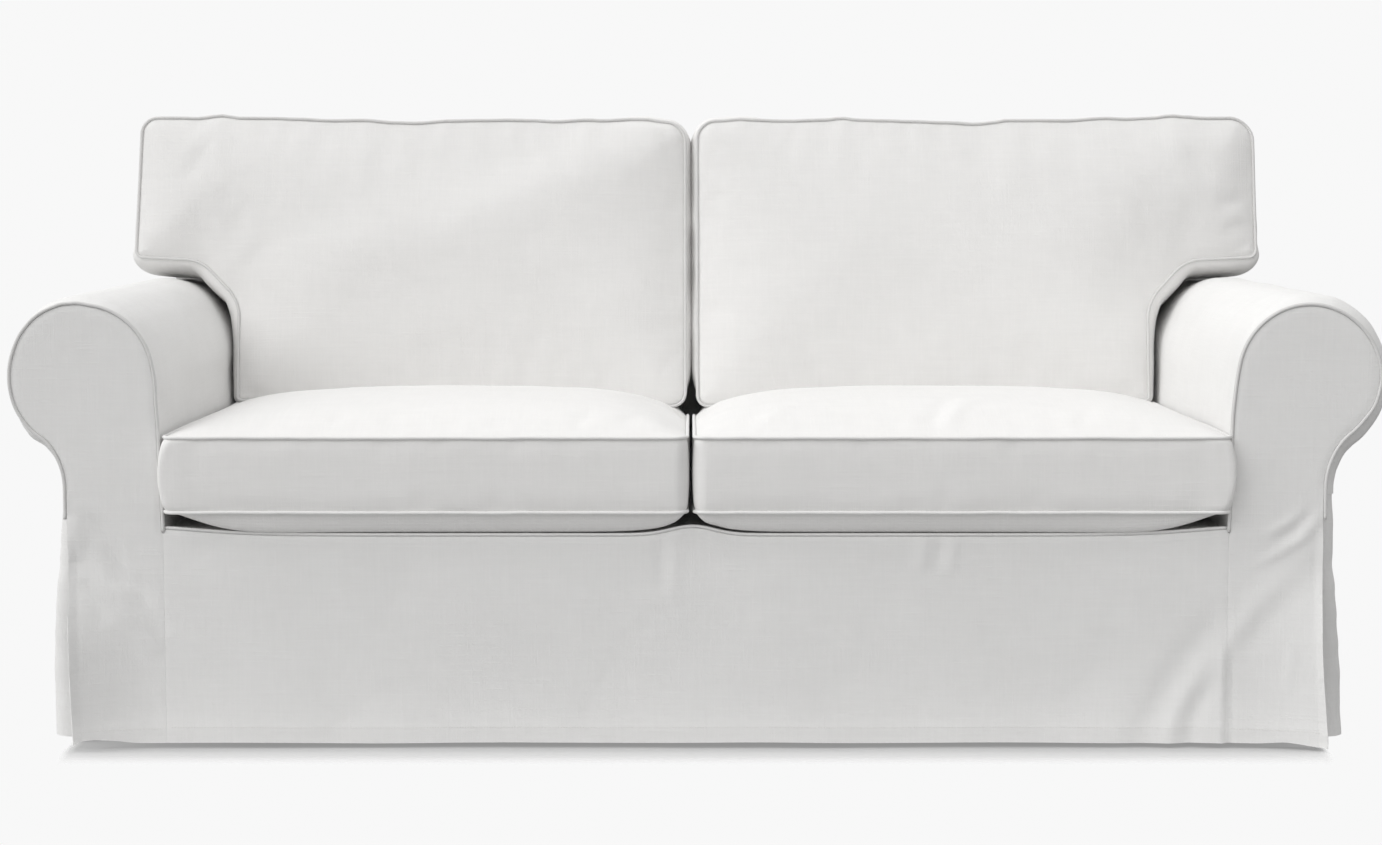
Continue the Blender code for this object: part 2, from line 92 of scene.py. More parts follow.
# Each arm: how much fuller its front outline is at some angles round the roll, how far the cloth
# swells beyond it behind the piping, the outer side's distance from the middle at some heights,
# the free edge of its facing half-way down, and the facing's hem from that edge inwards.
ARMS = {
    "left": {
        "side": -1,
        "fuller": [(-90, 0.000), (-62, 0.0005), (-45, 0.0035), (-20, 0.0048), (20, 0.0050), (38, 0.0060),
                   (52, 0.0065), (73, 0.0050), (83, 0.0030), (97, 0.0002), (180, -0.0005), (202, -0.0028),
                   (225, -0.0020), (243, 0.0)],
        "swell": [(-90, 0.0056), (-75, 0.0082), (-60, 0.0112), (-48, 0.0128), (-38, 0.0112), (-28, 0.0075),
                  (-15, 0.0050), (25, 0.0050), (90, 0.0090), (125, 0.0055), (165, 0.0)],
        "out": [(0.0, 0.8600), (0.04, 0.8605), (0.09, 0.8605), (0.137, 0.8572), (0.177, 0.8535), (0.205, 0.8505),
                (0.245, 0.8430), (0.270, 0.8388), (0.298, 0.8355), (0.335, 0.8310)],
        "kick": 0.030, "edge": 0.8172,
        "hem": [(0.8135, 0.0078), (0.806, 0.0130), (0.790, 0.0140), (0.774, 0.0122), (0.758, 0.0104),
                (0.742, 0.0078), (0.722, 0.0068), (ARM_IN, HEM_Z)],
    },
    "right": {
        "side": 1,
        "fuller": [(-90, -0.0020), (-62, -0.0030), (-40, -0.0020), (-20, 0.0015), (0, 0.0030), (60, 0.0008),
                   (243, 0.0)],
        "swell": [(-90, 0.0150), (-75, 0.0180), (-60, 0.0195), (-48, 0.0205), (-38, 0.0200), (-15, 0.0165),
                  (25, 0.0145), (45, 0.0160), (66, 0.0155), (90, 0.0110), (125, 0.0060), (165, 0.0)],
        "out": [(0.0, 0.8690), (0.045, 0.8658), (0.084, 0.8648), (0.124, 0.8605), (0.165, 0.8555), (0.205, 0.8510),
                (0.245, 0.8435), (0.29, 0.8404), (0.335, 0.8375)],
        "kick": 0.023, "edge": 0.8178,
        "hem": [(0.8262, 0.0056), (0.813, 0.0060), (0.7935, 0.0082), (0.774, 0.0096), (0.755, 0.0080),
                (0.735, 0.0068), (ARM_IN, HEM_Z)],
    },
}

# ---- seat cushions
SEAT_TOP_Z = 0.4129
SEAT_DROP = 0.006
SEAT_T = 0.098
SEAT_FRONT_Y, SEAT_REAR_Y = -0.445, 0.208
SEAT_CROWN, SEAT_BELLY = 0.042, 0.0274
SEAT_BELLY_EDGE = 0.0035        # how much lower it hangs over the deck's front edge
INNER_DIP = 0.018               # between the cushions the top sinks behind, under the back cushions' corners
SEAT_PRESSED = -0.0025          # how far the back cushion presses the top
SEATS = {"left": (-0.6940, -0.0114), "right": (-0.0021, 0.6965)}

# ---- back cushions
CUSHION_Y, CUSHION_Z = 0.060, 0.4187
CUSHION_T = 0.155
CUSHION_CROWN, CUSHION_REAR_CROWN = 0.042, 0.014
CUSHION_SAG, CORNER_SAG = 0.006, 0.009       # the lower edge sinks into the seat, its inner end more
BACKS = {
    "left": [(-0.0150, 0.0000, 0.020), (-0.0155, 0.4225, 0.032), (-0.8480, 0.4285, 0.024),
             (-0.8530, 0.2130, 0.011), (-0.7540, 0.2080, 0.054), (-0.6942, 0.1460, 0.065),
             (-0.6940, 0.0000, 0.006)],
    "right": [(0.0034, 0.0000, 0.016), (0.0026, 0.4235, 0.029), (0.8545, 0.4265, 0.034),
              (0.8550, 0.2125, 0.012), (0.7475, 0.2080, 0.060), (0.6880, 0.1437, 0.074),
              (0.6875, 0.0000, 0.006)],
}

# Waves of a back cushion's top edge: (across, rise).
TOP_WAVES = {
    "left": [(-0.85, 0.000), (-0.79, 0.0005), (-0.765, 0.000), (-0.725, 0.0045), (-0.70, 0.001), (-0.65, 0.001),
             (-0.61, 0.000), (-0.56, -0.002), (-0.51, -0.001), (-0.46, -0.0045), (-0.43, -0.005), (-0.375, -0.001),
             (-0.33, 0.000), (-0.285, 0.001), (-0.25, 0.0005), (-0.215, -0.001), (-0.165, 0.002), (-0.146, 0.001),
             (-0.09, 0.0035), (-0.07, 0.003), (-0.05, -0.0005), (0.0, 0.0)],
    "right": [(0.0, 0.000), (0.04, 0.0005), (0.07, 0.003), (0.09, 0.0015), (0.13, 0.000), (0.155, 0.000),
              (0.175, 0.001), (0.20, 0.0015), (0.225, 0.004), (0.25, 0.001), (0.29, 0.000), (0.33, -0.0015),
              (0.385, -0.0035), (0.43, -0.006), (0.455, -0.004), (0.475, -0.0005), (0.52, -0.0005),
              (0.57, -0.001), (0.63, 0.0025), (0.66, 0.001), (0.70, 0.0025), (0.73, 0.006), (0.755, 0.004),
              (0.78, 0.002), (0.82, 0.002), (0.85, 0.0)],
}

# Folds of the skirt and the facings: half width, height towards the front, places along it (across, up).
FOLDS = [
    (0.0110, -0.0036, (-0.803, 0.320), (-0.789, 0.298), (-0.769, 0.270), (-0.751, 0.235), (-0.736, 0.219),
     (-0.722, 0.201), (-0.709, 0.182), (-0.690, 0.155)),
    (0.0120, 0.0036, (-0.800, 0.262), (-0.782, 0.238), (-0.770, 0.219), (-0.752, 0.201), (-0.740, 0.182),
     (-0.723, 0.164), (-0.704, 0.124)),
    (0.0100, 0.0030, (-0.820, 0.310), (-0.812, 0.284), (-0.808, 0.250)),
    (0.0100, -0.0022, (-0.806, 0.224), (-0.786, 0.196), (-0.772, 0.165)),
    (0.0160, 0.0010, (-0.790, 0.110), (-0.775, 0.080), (-0.768, 0.040)),
    (0.0185, 0.0027, (0.812, 0.270), (0.756, 0.210), (0.724, 0.174), (0.700, 0.142), (0.689, 0.107),
     (0.687, 0.065), (0.688, 0.005), (0.689, -0.056)),
    (0.0170, -0.0013, (0.791, 0.218), (0.759, 0.187), (0.734, 0.158), (0.712, 0.125)),
    (0.0180, -0.0023, (0.700, 0.196), (0.654, 0.137), (0.628, 0.099), (0.607, 0.062), (0.589, 0.022),
     (0.565, -0.060)),
    (0.0120, 0.0024, (0.674, 0.126), (0.653, 0.086), (0.633, 0.049), (0.623, 0.009), (0.617, -0.060)),
    (0.0110, -0.0024, (0.683, 0.094), (0.658, 0.049), (0.651, 0.009), (0.647, -0.060)),
    (0.0065, 0.0022, (0.824, 0.328), (0.799, 0.285), (0.770, 0.264), (0.732, 0.242)),
    (0.0065, -0.0015, (0.812, 0.330), (0.785, 0.292), (0.752, 0.272)),
    (0.0070, 0.0017, (0.800, 0.330), (0.775, 0.300), (0.738, 0.282)),
    (0.0055, 0.0009, (0.782, 0.150), (0.779, 0.111), (0.777, 0.074)),
    (0.0400, -0.0016, (0.560, 0.150), (0.520, 0.090), (0.490, 0.020)),
    (0.0080, 0.0016, (0.297, 0.290), (0.297, 0.235)), (0.0070, -0.0014, (0.318, 0.290), (0.318, 0.235)),
    (0.0080, 0.0014, (0.337, 0.290), (0.334, 0.230)), (0.0080, -0.0012, (-0.048, 0.290), (-0.044, 0.205)),
    (0.0090, 0.0012, (-0.028, 0.290), (-0.028, 0.195)), (0.0600, 0.0025, (-0.38, 0.22), (-0.13, 0.08)),
    (0.0500, 0.0025, (0.04, 0.25), (0.18, -0.02)), (0.0500, 0.0025, (-0.64, 0.26), (-0.48, 0.03)),
]


# ---------------------------------------------------------------- numbers and outlines

def ease(value, low, high):
    """0 at low, 1 at high, level at both ends."""
    t = np.clip((np.asarray(value, float) - low) / (high - low), 0.0, 1.0)
    return t * t * (3.0 - 2.0 * t)


def bump(value, centre, half_width):
    """1 at the centre, falling off evenly on both sides."""
    return np.exp(-((np.asarray(value, float) - centre) / half_width) ** 2)


def wave(table, at):
    """A smooth curve through a short table of (place, height)."""
    places, heights = (np.array(column) for column in zip(*table))
    at = np.clip(np.asarray(at, float), places[0], places[-1])
    k = np.clip(np.searchsorted(places, at) - 1, 0, len(places) - 2)
    return heights[k] + (heights[k + 1] - heights[k]) * ease((at - places[k]) / (places[k + 1] - places[k]), 0, 1)


def arc(cx, cz, rx, rz, start, end, steps):
    angles = np.linspace(start, end, steps + 1)
    return np.stack([cx + rx * np.cos(angles), cz + rz * np.sin(angles)], 1)


def rounded(corners, steps=8):
    """A closed outline through (x, y, radius) corners, each rounded by an arc."""
    outline = []
    count = len(corners)
    for i in range(count):
        here = Vector(corners[i][:2])
        to_last = (Vector(corners[i - 1][:2]) - here).normalized()
        to_next = (Vector(corners[(i + 1) % count][:2]) - here).normalized()
        half = to_last.angle(to_next) / 2
        radius = corners[i][2]
        centre = here + (to_last + to_next).normalized() * (radius / math.sin(half))
        start = here + to_last * (radius / math.tan(half)) - centre
        sweep = start.angle_signed(here + to_next * (radius / math.tan(half)) - centre)
        for k in range(steps + 1):
            turn = -sweep * k / steps
            outline.append((centre.x + start.x * math.cos(turn) - start.y * math.sin(turn),
                            centre.y + start.x * math.sin(turn) + start.y * math.cos(turn)))
    return np.array(outline)


def divided(outline, step, closed=True):
    """The outline with points added so that no stretch is longer than step."""
    outline = np.asarray(outline, float)
    ends = np.roll(outline, -1, axis=0) if closed else outline[1:]
    result = []
    for start, end in zip(outline, ends):
        parts = max(1, math.ceil(np.linalg.norm(end - start) / step))
        result.extend(start + (end - start) * k / parts for k in range(parts))
    return np.array(result if closed else result + [outline[-1]])


def evenly(path, step):
    """An open path read again at even distances."""
    path = np.asarray(path, float)
    far = np.concatenate([[0], np.cumsum(np.linalg.norm(np.diff(path, axis=0), axis=1))])
    places = np.linspace(0, far[-1], max(2, round(far[-1] / step) + 1))
    return np.stack([np.interp(places, far, path[:, k]) for k in range(path.shape[1])], 1)


def smooth_path(points, steps=12):
    """A smooth curve through a few points."""
    p = np.array([2 * np.subtract(points[0], 0) - points[1], *points, 2 * np.array(points[-1]) - points[-2]])
    t = np.linspace(0, 1, steps, endpoint=False)[:, None]
    spans = []
    for a, b, c, d in zip(p, p[1:], p[2:], p[3:]):
        spans.append(0.5 * (2 * b + (c - a) * t + (2 * a - 5 * b + 4 * c - d) * t ** 2
                            + (3 * b - a - 3 * c + d) * t ** 3))
    return np.vstack(spans + [p[-2:-1]])


def lefts(outline, closed=True):
    """Unit steps to the left of the way an outline runs."""
    if closed:
        along = np.roll(outline, -1, axis=0) - np.roll(outline, 1, axis=0)
    else:
        along = np.gradient(outline, axis=0)
    along /= np.linalg.norm(along, axis=1)[:, None]
    return np.stack([-along[:, 1], along[:, 0]], 1)


def shifted(outline, amount, closed=True):
    """Moves each point to the left of the way the outline runs."""
    return outline + lefts(outline, closed) * np.reshape(amount, (-1, 1))


def anticlockwise(outline):
    following = np.roll(outline, -1, axis=0)
    area = np.sum(outline[:, 0] * following[:, 1] - following[:, 0] * outline[:, 1])
    return outline if area > 0 else outline[::-1]


def to_line(points, line, closed=True):
    """Distance from each point to the nearest stretch of a line."""
    starts, ends = (line, np.roll(line, -1, axis=0)) if closed else (line[:-1], line[1:])
    along = ends - starts
    best = np.full(len(points), np.inf)
    for start, step in zip(starts, along):
        t = np.clip((points - start) @ step / max(step @ step, 1e-12), 0, 1)
        best = np.minimum(best, np.linalg.norm(points - start - t[:, None] * step, axis=1))
    return best


def inside(points, outline):
    odd = np.zeros(len(points), bool)
    for (ax, ay), (bx, by) in zip(outline, np.roll(outline, -1, axis=0)):
        if ay == by:
            continue
        crosses = ((ay > points[:, 1]) != (by > points[:, 1]))
        odd ^= crosses & (points[:, 0] < ax + (points[:, 1] - ay) / (by - ay) * (bx - ax))
    return odd


def fill(outline, spacing, rings=()):
    """Triangles inside a closed outline, with rings of points along it and even ones within."""
    low, high = outline.min(axis=0), outline.max(axis=0)
    row_height = spacing * math.sqrt(3) / 2
    points = []
    for row in range(int((high[1] - low[1]) / row_height) + 1):
        xs = np.arange(low[0] + 0.5 * (row % 2) * spacing, high[0], spacing)
        points.append(np.stack([xs, np.full(len(xs), low[1] + row * row_height)], 1))
    points = np.vstack(points)
    clear = (max(rings) if rings else 0.0) + 0.6 * spacing
    points = points[inside(points, outline)]
    points = points[to_line(points, outline) > clear]
    every = [outline] + [shifted(outline, ring) for ring in rings] + [points]
    verts, _, faces, _, _, _ = delaunay_2d_cdt([Vector(p) for p in np.vstack(every)], [],
                                               [list(range(len(outline)))], 1, 1e-7)
    return np.array([tuple(v) for v in verts]), [tuple(f) for f in faces]


def drift(points, scale, seed):
    """Smooth unevenness between about -1 and 1, the same each time."""
    lift = Vector((seed * 7.3, seed * 3.1, seed * 1.7))
    return np.array([noise.noise(Vector((*p, 0.0)[:3]) / scale + lift) for p in points])


def crease(points, table):
    """Height of the creases of a table at each point: (half width, height, place, place, ...)."""
    height = np.zeros(len(points))
    for width, rise, *places in table:
        path = smooth_path(places, 4) if len(places) > 2 else np.array(places, float)
        steps = np.diff(path, axis=0)
        lengths = np.linalg.norm(steps, axis=1)
        before = np.concatenate([[0], np.cumsum(lengths)])
        across, along = np.full(len(points), np.inf), np.zeros(len(points))
        for start, step, length, far in zip(path, steps, lengths, before):
            t = np.clip((points - start) @ step / length ** 2, 0, 1)
            away = np.linalg.norm(points - start - t[:, None] * step, axis=1)
            along = np.where(away < across, (far + t * length) / before[-1], along)
            across = np.minimum(away, across)
        height += rise * np.exp(-(across / width) ** 2) * np.sin(math.pi * along) ** 0.6
    return height


# ---------------------------------------------------------------- finishes

class Number:
    """A socket that carries a number, so that the sums of a finish read as plain maths."""

    def __init__(self, finish, socket):
        self.finish, self.socket = finish, socket

    def __add__(self, other):
        return self.finish.maths("ADD", self, other)

    def __sub__(self, other):
        return self.finish.maths("SUBTRACT", self, other)

    def __rsub__(self, other):
        return self.finish.maths("SUBTRACT", other, self)

    def __mul__(self, other):
        return self.finish.maths("MULTIPLY", self, other)

    def __truediv__(self, other):
        return self.finish.maths("DIVIDE", self, other)

    def __pow__(self, other):
        return self.finish.maths("POWER", self, other)

    __radd__, __rmul__ = __add__, __mul__

    def sine(self):
        return self.finish.maths("SINE", self)

    def size(self):
        return self.finish.maths("ABSOLUTE", self)


class Finish:
    """A material and the few ways in which its nodes are made."""

    def __init__(self, name, **settings):
        self.material = bpy.data.materials.new(name)
        self.material.use_nodes = True
        self.tree = self.material.node_tree
        self.shader = self.tree.nodes["Principled BSDF"]
        for label, value in settings.items():
            self.shader.inputs[label.replace("_", " ")].default_value = value

    def node(self, kind, settings=(), sockets=()):
        """Makes a node, sets its settings first and then the values or links of its sockets."""
        made = self.tree.nodes.new(kind)
        for label, value in dict(settings).items():
            setattr(made, label, value)
        for label, value in dict(sockets).items():
            self.feed(made.inputs[label], value)
        return made

    def feed(self, socket, value):
        if isinstance(value, Number):
            value = value.socket
        if isinstance(value, bpy.types.NodeSocket):
            self.tree.links.new(value, socket)
        else:
            socket.default_value = value

    def maths(self, operation, *values):
        made = self.node("ShaderNodeMath", {"operation": operation}, dict(enumerate(values)))
        return Number(self, made.outputs[0])

    def across_and_along(self):
        """The cloth's own two directions, in metres, from its UV map."""
        uv = self.node("ShaderNodeUVMap", {"uv_map": "cloth"})
        split = self.node("ShaderNodeSeparateXYZ", (), {"Vector": uv.outputs["UV"]})
        return Number(self, split.outputs["X"]), Number(self, split.outputs["Y"])

    def cloudy(self, x, y, detail=2.0):
        """Smooth noise over two numbers, from 0 to 1."""
        place = self.node("ShaderNodeCombineXYZ", (), {"X": x, "Y": y})
        made = self.node("ShaderNodeTexNoise", {"noise_dimensions": "2D"},
                         {"Vector": place.outputs[0], "Scale": 1.0, "Detail": detail})
        return Number(self, made.outputs[0])

    def steps(self, value, stops):
        """A number led through (place, height) stops."""
        ramp = self.tree.nodes.new("ShaderNodeValToRGB")
        while len(ramp.color_ramp.elements) > 1:
            ramp.color_ramp.elements.remove(ramp.color_ramp.elements[-1])
        for k, (place, height) in enumerate(stops):
            stop = ramp.color_ramp.elements[0] if k == 0 else ramp.color_ramp.elements.new(place)
            stop.position, stop.color = place, (height, height, height, 1)
        self.feed(ramp.inputs[0], value)
        return Number(self, ramp.outputs["Color"])

    def blend(self, factor, first, second):
        made = self.node("ShaderNodeMix", {"data_type": "RGBA"}, {0: factor, 6: first, 7: second})
        return made.outputs[2]

    def relief(self, height, depth):
        made = self.node("ShaderNodeBump", (), {"Height": height, "Distance": depth, "Strength": 1.0})
        self.feed(self.shader.inputs["Normal"], made.outputs[0])


THREAD = 0.0011             # from one thread of the weave to the next


def linen(name, light, shade, bias=False, slubs=1.0):
    """Plain-woven linen: threads over and under, slubs both ways and a faint cloudy tone."""
    cloth = Finish(name, Roughness=0.9, Sheen_Weight=0.12, Sheen_Roughness=0.45, IOR=1.4)
    across, along = cloth.across_and_along()
    if bias:
        across, along = (across + along) * 0.7071, (across - along) * 0.7071
    warp = (across * (math.pi / THREAD)).sine()
    weft = (along * (math.pi / THREAD)).sine()
    over = warp * weft * 0.5 + 0.5
    weave = warp.size() * over + weft.size() * (1.0 - over)
    down = cloth.steps(cloth.cloudy(across * 420.0, along * 14.0), [(0.52, 0.0), (0.72, 1.0)])
    cross = cloth.steps(cloth.cloudy(across * 12.0 + 40.0, along * 400.0), [(0.52, 0.0), (0.72, 1.0)])
    slub = (down + cross) * 0.5 * slubs
    streaks = cloth.cloudy(across * 210.0 + 9.0, along * 16.0) + cloth.cloudy(across * 9.0, along * 190.0 + 5.0)
    cloud = cloth.cloudy(across * 7.0 + 3.0, along * 7.0, 4.0) + cloth.cloudy(across * 31.0, along * 31.0 + 7.0)
    tone = cloth.steps(weave * 0.34 + slub * 0.14 + streaks * 0.15 + cloud * 0.20, [(0.19, 0.0), (0.82, 1.0)])
    cloth.feed(cloth.shader.inputs["Base Color"], cloth.blend(tone, (*shade, 1), (*light, 1)))
    cloth.feed(cloth.shader.inputs["Roughness"], 0.96 - weave * 0.10)
    cloth.relief(weave + slub * 0.9, 0.00022)
    return cloth.material


def stitch_thread():
    """Cotton thread: two plies, seen as slanting bands."""
    thread = Finish("stitch_thread", Roughness=0.6, Sheen_Weight=0.1)
    place = thread.node("ShaderNodeTexCoord").outputs["Object"]
    split = thread.node("ShaderNodeSeparateXYZ", (), {"Vector": place})
    x, z = Number(thread, split.outputs["X"]), Number(thread, split.outputs["Z"])
    ply = ((x + z) * (2 * math.pi / 0.0009)).sine() * 0.5 + 0.5
    thread.feed(thread.shader.inputs["Base Color"],
                thread.blend(ply, (0.70, 0.69, 0.67, 1), (0.84, 0.83, 0.81, 1)))
    thread.relief(ply, 0.0001)
    return thread.material


COVER_LINEN = linen("cover_linen", (0.86, 0.855, 0.845), (0.78, 0.775, 0.765))
CUSHION_LINEN = linen("cushion_linen", (0.87, 0.862, 0.85), (0.79, 0.783, 0.772))
# A darker copy of the cover linen for the facing and back-cushion piping: painted shade, for the dark line along those
# seams.
PAINTED_SHADE_PIPING_LINEN = linen("piping_linen_painted_shade", (0.76, 0.755, 0.745), (0.66, 0.655, 0.645), bias=True, slubs=0.5)
SEAT_PIPING_LINEN = linen("seat_piping_linen", (0.86, 0.855, 0.845), (0.78, 0.775, 0.765), bias=True, slubs=0.5)
THREAD_COTTON = stitch_thread()


# ---------------------------------------------------------------- pieces

def new_piece(name, mesh, material, slot, *nodes):
    """Adds a piece that rides with the set and stands for its solids."""
    mesh.materials.clear()
    mesh.materials.append(material)
    piece = bpy.data.objects.new(name, mesh)
    bpy.context.scene.collection.objects.link(piece)
    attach(piece, "root")
    if nodes:
        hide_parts(*nodes)
    return piece


def mesh_of(name, points, faces, uvs):
    """A mesh with its points, faces and one UV place, in metres of cloth, for each point."""
    mesh = bpy.data.meshes.new(name)
    mesh.from_pydata([tuple(p) for p in points], [], faces)
    layer = mesh.uv_layers.new(name="cloth")
    corners = np.empty(len(mesh.loops), int)
    mesh.loops.foreach_get("vertex_index", corners)
    layer.data.foreach_set("uv", np.asarray(uvs, float)[corners].ravel())
    return mesh


def with_modifiers(mesh, *modifiers):
    """The mesh as its modifiers leave it: each is a kind and its settings."""
    carrier = bpy.data.objects.new("carrier", mesh)
    bpy.context.scene.collection.objects.link(carrier)
    for kind, settings in modifiers:
        modifier = carrier.modifiers.new(kind, kind)
        for label, value in settings.items():
            setattr(modifier, label, value)
    graph = bpy.context.evaluated_depsgraph_get()
    graph.update()
    result = bpy.data.meshes.new_from_object(carrier.evaluated_get(graph))
    bpy.data.objects.remove(carrier)
    bpy.data.meshes.remove(mesh)
    return result


def sheet_piece(node, points, faces, uvs, hollow_side, flat, held, area=None, with_pieces=(), material=None):
    """One panel of the cover: its cloth lies behind the show side, with turned edges."""
    mesh = mesh_of(node, points, faces, uvs)
    inner = Vector(hollow_side)
    if sum((f.center - inner).normalized().dot(f.normal) * f.area for f in mesh.polygons) < 0:
        mesh.flip_normals()
    mesh = with_modifiers(mesh, ("SOLIDIFY", {"thickness": CLOTH, "offset": -1.0}))
    mesh.shade_smooth()
    mesh.set_sharp_from_angle(angle=math.radians(50))
    piece = new_piece(node + "_linen", mesh, material or COVER_LINEN, "cover_cloth", node)
    return piece


def grid_faces(keep):
    """Squares over a grid of points, without those that touch a point that is not kept."""
    rows, cols = keep.shape
    index = np.arange(rows * cols).reshape(rows, cols)
    whole = keep[:-1, :-1] & keep[1:, :-1] & keep[:-1, 1:] & keep[1:, 1:]
    corners = np.stack([index[:-1, :-1], index[:-1, 1:], index[1:, 1:], index[1:, :-1]], -1)
    return corners[whole]


def grid_piece(node, grid, uvs, hollow_side, flat, held, keep=None, **details):
    """A panel over a grid of points, with a cut-out where keep is false."""
    keep = np.ones(grid.shape[:2], bool) if keep is None else keep
    faces = grid_faces(keep)
    used = np.unique(faces)
    number = np.full(keep.size, -1)
    number[used] = np.arange(len(used))
    return sheet_piece(node, grid.reshape(-1, 3)[used], number[faces].tolist(), uvs.reshape(-1, 2)[used],
                       hollow_side, flat, held, **details)


def cord(name, route, up, closed, material=None, sides=10, radius=CORD_R):
    """Piping cord: a round tube along a route, whose ring is set by an up direction."""
    route = np.asarray(route, float)
    along = np.roll(route, -1, 0) - np.roll(route, 1, 0) if closed else np.gradient(route, axis=0)
    along /= np.linalg.norm(along, axis=1)[:, None]
    across = np.cross(along, np.broadcast_to(up, route.shape))
    across /= np.linalg.norm(across, axis=1)[:, None]
    above = np.cross(across, along)
    far = np.concatenate([[0], np.cumsum(np.linalg.norm(np.diff(route, axis=0), axis=1))])
    plump = radius * (1 + 0.05 * drift(np.stack([far, 0 * far, 0 * far], 1), 0.02, 3))
    turns = np.linspace(0, 2 * math.pi, sides, endpoint=False)
    ring = np.cos(turns)[None, :, None] * across[:, None] + np.sin(turns)[None, :, None] * above[:, None]
    points = (route[:, None] + ring * plump[:, None, None]).reshape(-1, 3)
    count = len(route)
    faces = []
    for k in range(count if closed else count - 1):
        after = (k + 1) % count
        for s in range(sides):
            t = (s + 1) % sides
            faces.append((k * sides + s, k * sides + t, after * sides + t, after * sides + s))
    if not closed:
        faces.append(tuple(range(sides))[::-1])
        faces.append(tuple((count - 1) * sides + s for s in range(sides)))
    uvs = np.stack([np.repeat(far, sides), np.tile(turns * radius, count)], 1)
    mesh = mesh_of(name, points, faces, uvs)
    bm = bmesh.new()
    bm.from_mesh(mesh)
    bmesh.ops.recalc_face_normals(bm, faces=bm.faces)
    bm.to_mesh(mesh)
    bm.free()
    mesh.shade_smooth()
    return new_piece(name + "_cord", mesh, material or PAINTED_SHADE_PIPING_LINEN, "piping", name)


# ---------------------------------------------------------------- stitches

def stitch_tree():
    """Stitches along a line: short round lengths of thread, laid end to end with small gaps."""
    tree = bpy.data.node_groups.new("stitches", "GeometryNodeTree")
    tree.interface.new_socket("Line", in_out="INPUT", socket_type="NodeSocketGeometry")
    for label, value in (("Pitch", STITCH_PITCH), ("Stitch", STITCH), ("Thread", THREAD_R)):
        made = tree.interface.new_socket(label, in_out="INPUT", socket_type="NodeSocketFloat")
        made.default_value = value
    thread = tree.interface.new_socket("Cotton", in_out="INPUT", socket_type="NodeSocketMaterial")
    thread.default_value = THREAD_COTTON
    tree.interface.new_socket("Stitches", in_out="OUTPUT", socket_type="NodeSocketGeometry")

    def node(kind, links=(), **settings):
        made = tree.nodes.new(kind)
        for label, value in settings.items():
            setattr(made, label, value)
        for label, source in dict(links).items():
            if isinstance(source, bpy.types.NodeSocket):
                tree.links.new(source, made.inputs[label])
            else:
                made.inputs[label].default_value = source
        return made

    given = node("NodeGroupInput").outputs
    line = node("GeometryNodeMeshToCurve", {"Mesh": given["Line"]}).outputs[0]
    even = node("GeometryNodeResampleCurve", {"Curve": line, "Length": given["Pitch"]}, mode="LENGTH").outputs[0]
    ball = node("GeometryNodeMeshUVSphere", {"Segments": 6, "Rings": 4, "Radius": 1.0}).outputs[0]
    half = node("ShaderNodeMath", {0: given["Stitch"], 1: 0.5}, operation="MULTIPLY").outputs[0]
    size = node("ShaderNodeCombineXYZ", {"X": given["Thread"], "Y": given["Thread"], "Z": half}).outputs[0]
    tangent = node("GeometryNodeInputTangent").outputs[0]
    turn = node("FunctionNodeAlignRotationToVector", {"Vector": tangent}, axis="Z").outputs[0]
    placed = node("GeometryNodeInstanceOnPoints",
                  {"Points": even, "Instance": ball, "Rotation": turn, "Scale": size}).outputs[0]
    real = node("GeometryNodeRealizeInstances", {"Geometry": placed}).outputs[0]
    smooth = node("GeometryNodeSetShadeSmooth", {"Geometry": real}).outputs[0]
    dressed = node("GeometryNodeSetMaterial", {"Geometry": smooth, "Material": given["Cotton"]}).outputs[0]
    node("NodeGroupOutput", {"Stitches": dressed})
    return tree


def stitches(name, routes):
    """The stitches of a panel's hems, as one piece."""
    points, edges = [], []
    for route in routes:
        start = len(points)
        points.extend(tuple(p) for p in route)
        edges.extend((k, k + 1) for k in range(start, len(points) - 1))
    line = bpy.data.meshes.new(name)
    line.from_pydata(points, edges, [])
    carrier = bpy.data.objects.new(name, line)
    bpy.context.scene.collection.objects.link(carrier)
    modifier = carrier.modifiers.new("stitches", "NODES")
    modifier.node_group = STITCH_TREE
    sockets = {item.name: item.identifier for item in STITCH_TREE.interface.items_tree if item.in_out == "INPUT"}
    modifier[sockets["Pitch"]] = STITCH_PITCH
    modifier[sockets["Stitch"]] = STITCH
    modifier[sockets["Thread"]] = THREAD_R
    graph = bpy.context.evaluated_depsgraph_get()
    graph.update()
    mesh = bpy.data.meshes.new_from_object(carrier.evaluated_get(graph))
    bpy.data.objects.remove(carrier)
    mesh.name = name
    return new_piece(name, mesh, THREAD_COTTON, "cover_cloth")


STITCH_TREE = stitch_tree()


# ---------------------------------------------------------------- body cover

def arm_section(arm=None):
    """The arm from the deck over the roll to the neck, as (out from the middle, up)."""
    roll = arc(ROLL_X, ROLL_Z, ROLL_RX, ROLL_RZ, math.radians(169), ROLL_END, 56)
    end_x, end_z = roll[-1]
    turn = math.atan2(ROLL_RX * math.sin(-ROLL_END), ROLL_RZ * math.cos(ROLL_END))
    neck_r = (end_x - ARM_OUT) / (1 - math.cos(turn))
    neck_z = end_z - neck_r * math.sin(turn)
    neck = arc(ARM_OUT + neck_r, neck_z, neck_r, neck_r, math.pi - turn, math.pi, 16)
    inner = smooth_path([(ARM_IN, DECK_Z + GAP), (0.6990, 0.35), (0.7000, 0.43), (0.7022, 0.462),
                         (0.7052, 0.488), tuple(roll[0])])
    section = evenly(np.vstack([inner[:-1], roll, neck[1:]]), 0.006)
    if arm:
        section = shifted(section, wave(arm["fuller"], round_roll(section)), closed=False)
    return section


